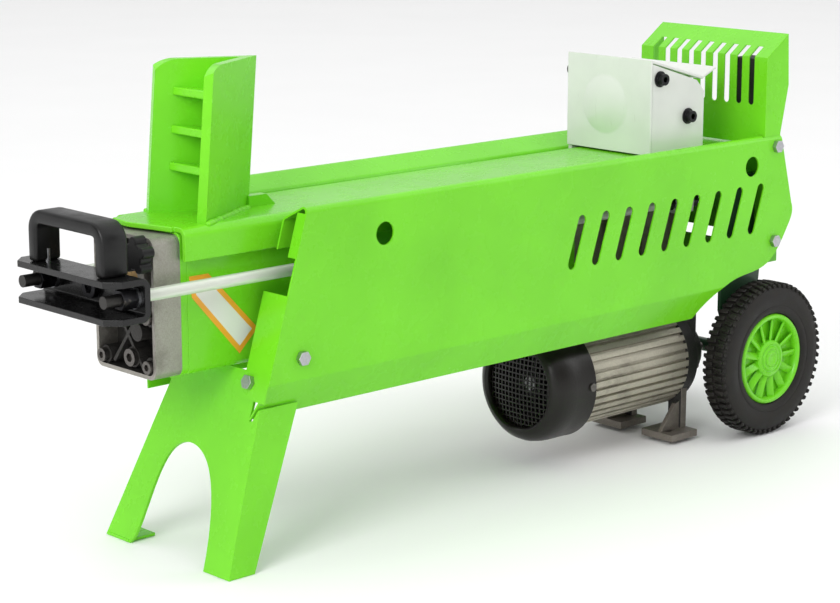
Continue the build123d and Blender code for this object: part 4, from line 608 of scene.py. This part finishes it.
grip = carryHandle()
grip.name = grip.data.name = "grip_moulding"
settle(grip, 50)
dress(grip, plasticBlack, "ram", "black_plastic", "carry_handle")
print("handle made")


weld = {"radius": 0.0042, "pitch": 0.0034, "voxel": 0.0009, "tip": -0.272, "back": -0.361,
        "halfWidth": 0.0500}


def weldBead(name, a, b):
    a, b = Vector(a), Vector(b)
    count = max(6, int((b - a).length / weld["pitch"]))
    start()
    bpy.ops.mesh.primitive_uv_sphere_add(segments=10, ring_count=6, radius=weld["radius"])
    ripple = bpy.context.object
    ripple.scale = (1.0, 1.0, 0.72)
    bpy.ops.object.transform_apply(location=False, rotation=False, scale=True)
    beads = []
    for i in range(count):
        t = (i + 0.5) / count
        swell = 1 + 0.14 * math.sin(i * 2.3) + 0.08 * math.sin(i * 5.1)
        beads.append(copyOf(ripple, Matrix.Translation(a.lerp(b, t)) @ Matrix.Scale(swell, 4)))
    bpy.data.objects.remove(ripple)
    bead = joined(beads, name)
    melt = bead.modifiers.new("Remesh", "REMESH")
    melt.mode, melt.voxel_size = "VOXEL", weld["voxel"]
    applyAll(bead)
    relax = bead.modifiers.new("Smooth", "SMOOTH")
    relax.factor, relax.iterations = 0.5, 2
    applyAll(bead)
    settle(bead, 60)
    return bead


label = {"border": 0.0052, "orange": (0.90, 0.40, 0.03), "field": (0.80, 0.80, 0.76)}
plate = softened("warning_plate", 0.0001, "frame", "label_vinyl")
plate.name = plate.data.name = "label_sheet"
orange = plainPaint("labelOrange", label["orange"], 0.35, 0.05, 0.1)
field = plainPaint("labelField", label["field"], 0.4, 0.05, 0.1)
plate.data.materials.clear()
plate.data.materials.append(orange)
plate.data.materials.append(field)
pickOnly(plate)
bpy.ops.object.mode_set(mode="EDIT")
bpy.ops.mesh.select_mode(type="FACE")
bpy.ops.mesh.select_all(action="DESELECT")
bpy.ops.object.mode_set(mode="OBJECT")
biggest = max((p for p in plate.data.polygons if p.normal.y < -0.9), key=lambda p: p.area)
biggest.select = True
bpy.ops.object.mode_set(mode="EDIT")
bpy.ops.mesh.inset(thickness=label["border"])
plate.active_material_index = 1
bpy.ops.object.material_slot_assign()
bpy.ops.object.mode_set(mode="OBJECT")
print("label made")

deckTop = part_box("deck_channel")[1][2]
for s, word in ((-1, "near"), (1, "far")):
    bead = weldBead("weld_wedge_" + word, (weld["tip"] - 0.004, s * 0.0040, deckTop),
                    (weld["back"], s * weld["halfWidth"], deckTop))
    dress(bead, green, "frame", "green_paint")
print("welds made")


shot = {"eye": (-1.6951, -1.7846, 0.7398), "forward": (0.6639, 0.7165, -0.2141),
        "up": (0.1455, 0.1570, 0.9768), "lens": 100.46}
camData = bpy.data.cameras.new("camera")
camData.lens = shot["lens"]
camData.clip_start = 0.05
cam = bpy.data.objects.new("camera", camData)
bpy.context.scene.collection.objects.link(cam)
back = -Vector(shot["forward"]).normalized()
side = Vector(shot["up"]).cross(back).normalized()
turn = Matrix((side, back.cross(side), back)).transposed().to_4x4()
cam.matrix_world = Matrix.Translation(shot["eye"]) @ turn
bpy.context.scene.camera = cam

room = {"floor": (0.93, 0.93, 0.93), "sky": 0.40, "horizon": 0.95}
bpy.ops.mesh.primitive_plane_add(size=60, location=(0, 0, -0.0005))
floor = bpy.context.object
floor.name = "floor"
f = Shader("paleFloor")
f.feed(Base_Color=f.mix(f.noise(3.0, 2.0), room["floor"], (0.9, 0.9, 0.9)), Roughness=0.7)
floor.data.materials.append(f.mat)
world = bpy.data.worlds.new("studio")
world.use_nodes = True
sky = world.node_tree  # white at the horizon, softer overhead
around = sky.nodes.new("ShaderNodeTexCoord")
height = sky.nodes.new("ShaderNodeSeparateXYZ")
fade = sky.nodes.new("ShaderNodeMapRange")
fade.inputs["From Min"].default_value = 0.10
fade.inputs["From Max"].default_value = 0.30
fade.inputs["To Min"].default_value = room["horizon"]
fade.inputs["To Max"].default_value = room["sky"]
sky.links.new(around.outputs["Generated"], height.inputs[0])
sky.links.new(height.outputs["Z"], fade.inputs["Value"])
sky.links.new(fade.outputs[0], sky.nodes["Background"].inputs["Strength"])
sky.nodes["Background"].inputs["Color"].default_value = (1, 1, 1, 1)
bpy.context.scene.world = world
bpy.context.scene.view_settings.view_transform = "Standard"


def softLight(name, place, aim, size, power):
    data = bpy.data.lights.new(name, "AREA")
    data.shape, data.size, data.size_y, data.energy = "RECTANGLE", size[0], size[1], power
    lamp = bpy.data.objects.new(name, data)
    lamp.location = place
    lamp.rotation_euler = (Vector(aim) - Vector(place)).to_track_quat("-Z", "Y").to_euler()
    bpy.context.scene.collection.objects.link(lamp)


softLight("keyLight", (-2.8, -1.0, 1.8), (0, 0, 0.2), (1.4, 1.4), 50)
softLight("topLight", (0.5, 0.8, 6.0), (0.5, 0.8, 0), (16.0, 16.0), 740)
softLight("rimLight", (1.9, -1.4, 1.2), (0.1, 0, 0.2), (0.8, 1.4), 7)
print("camera and lights placed")
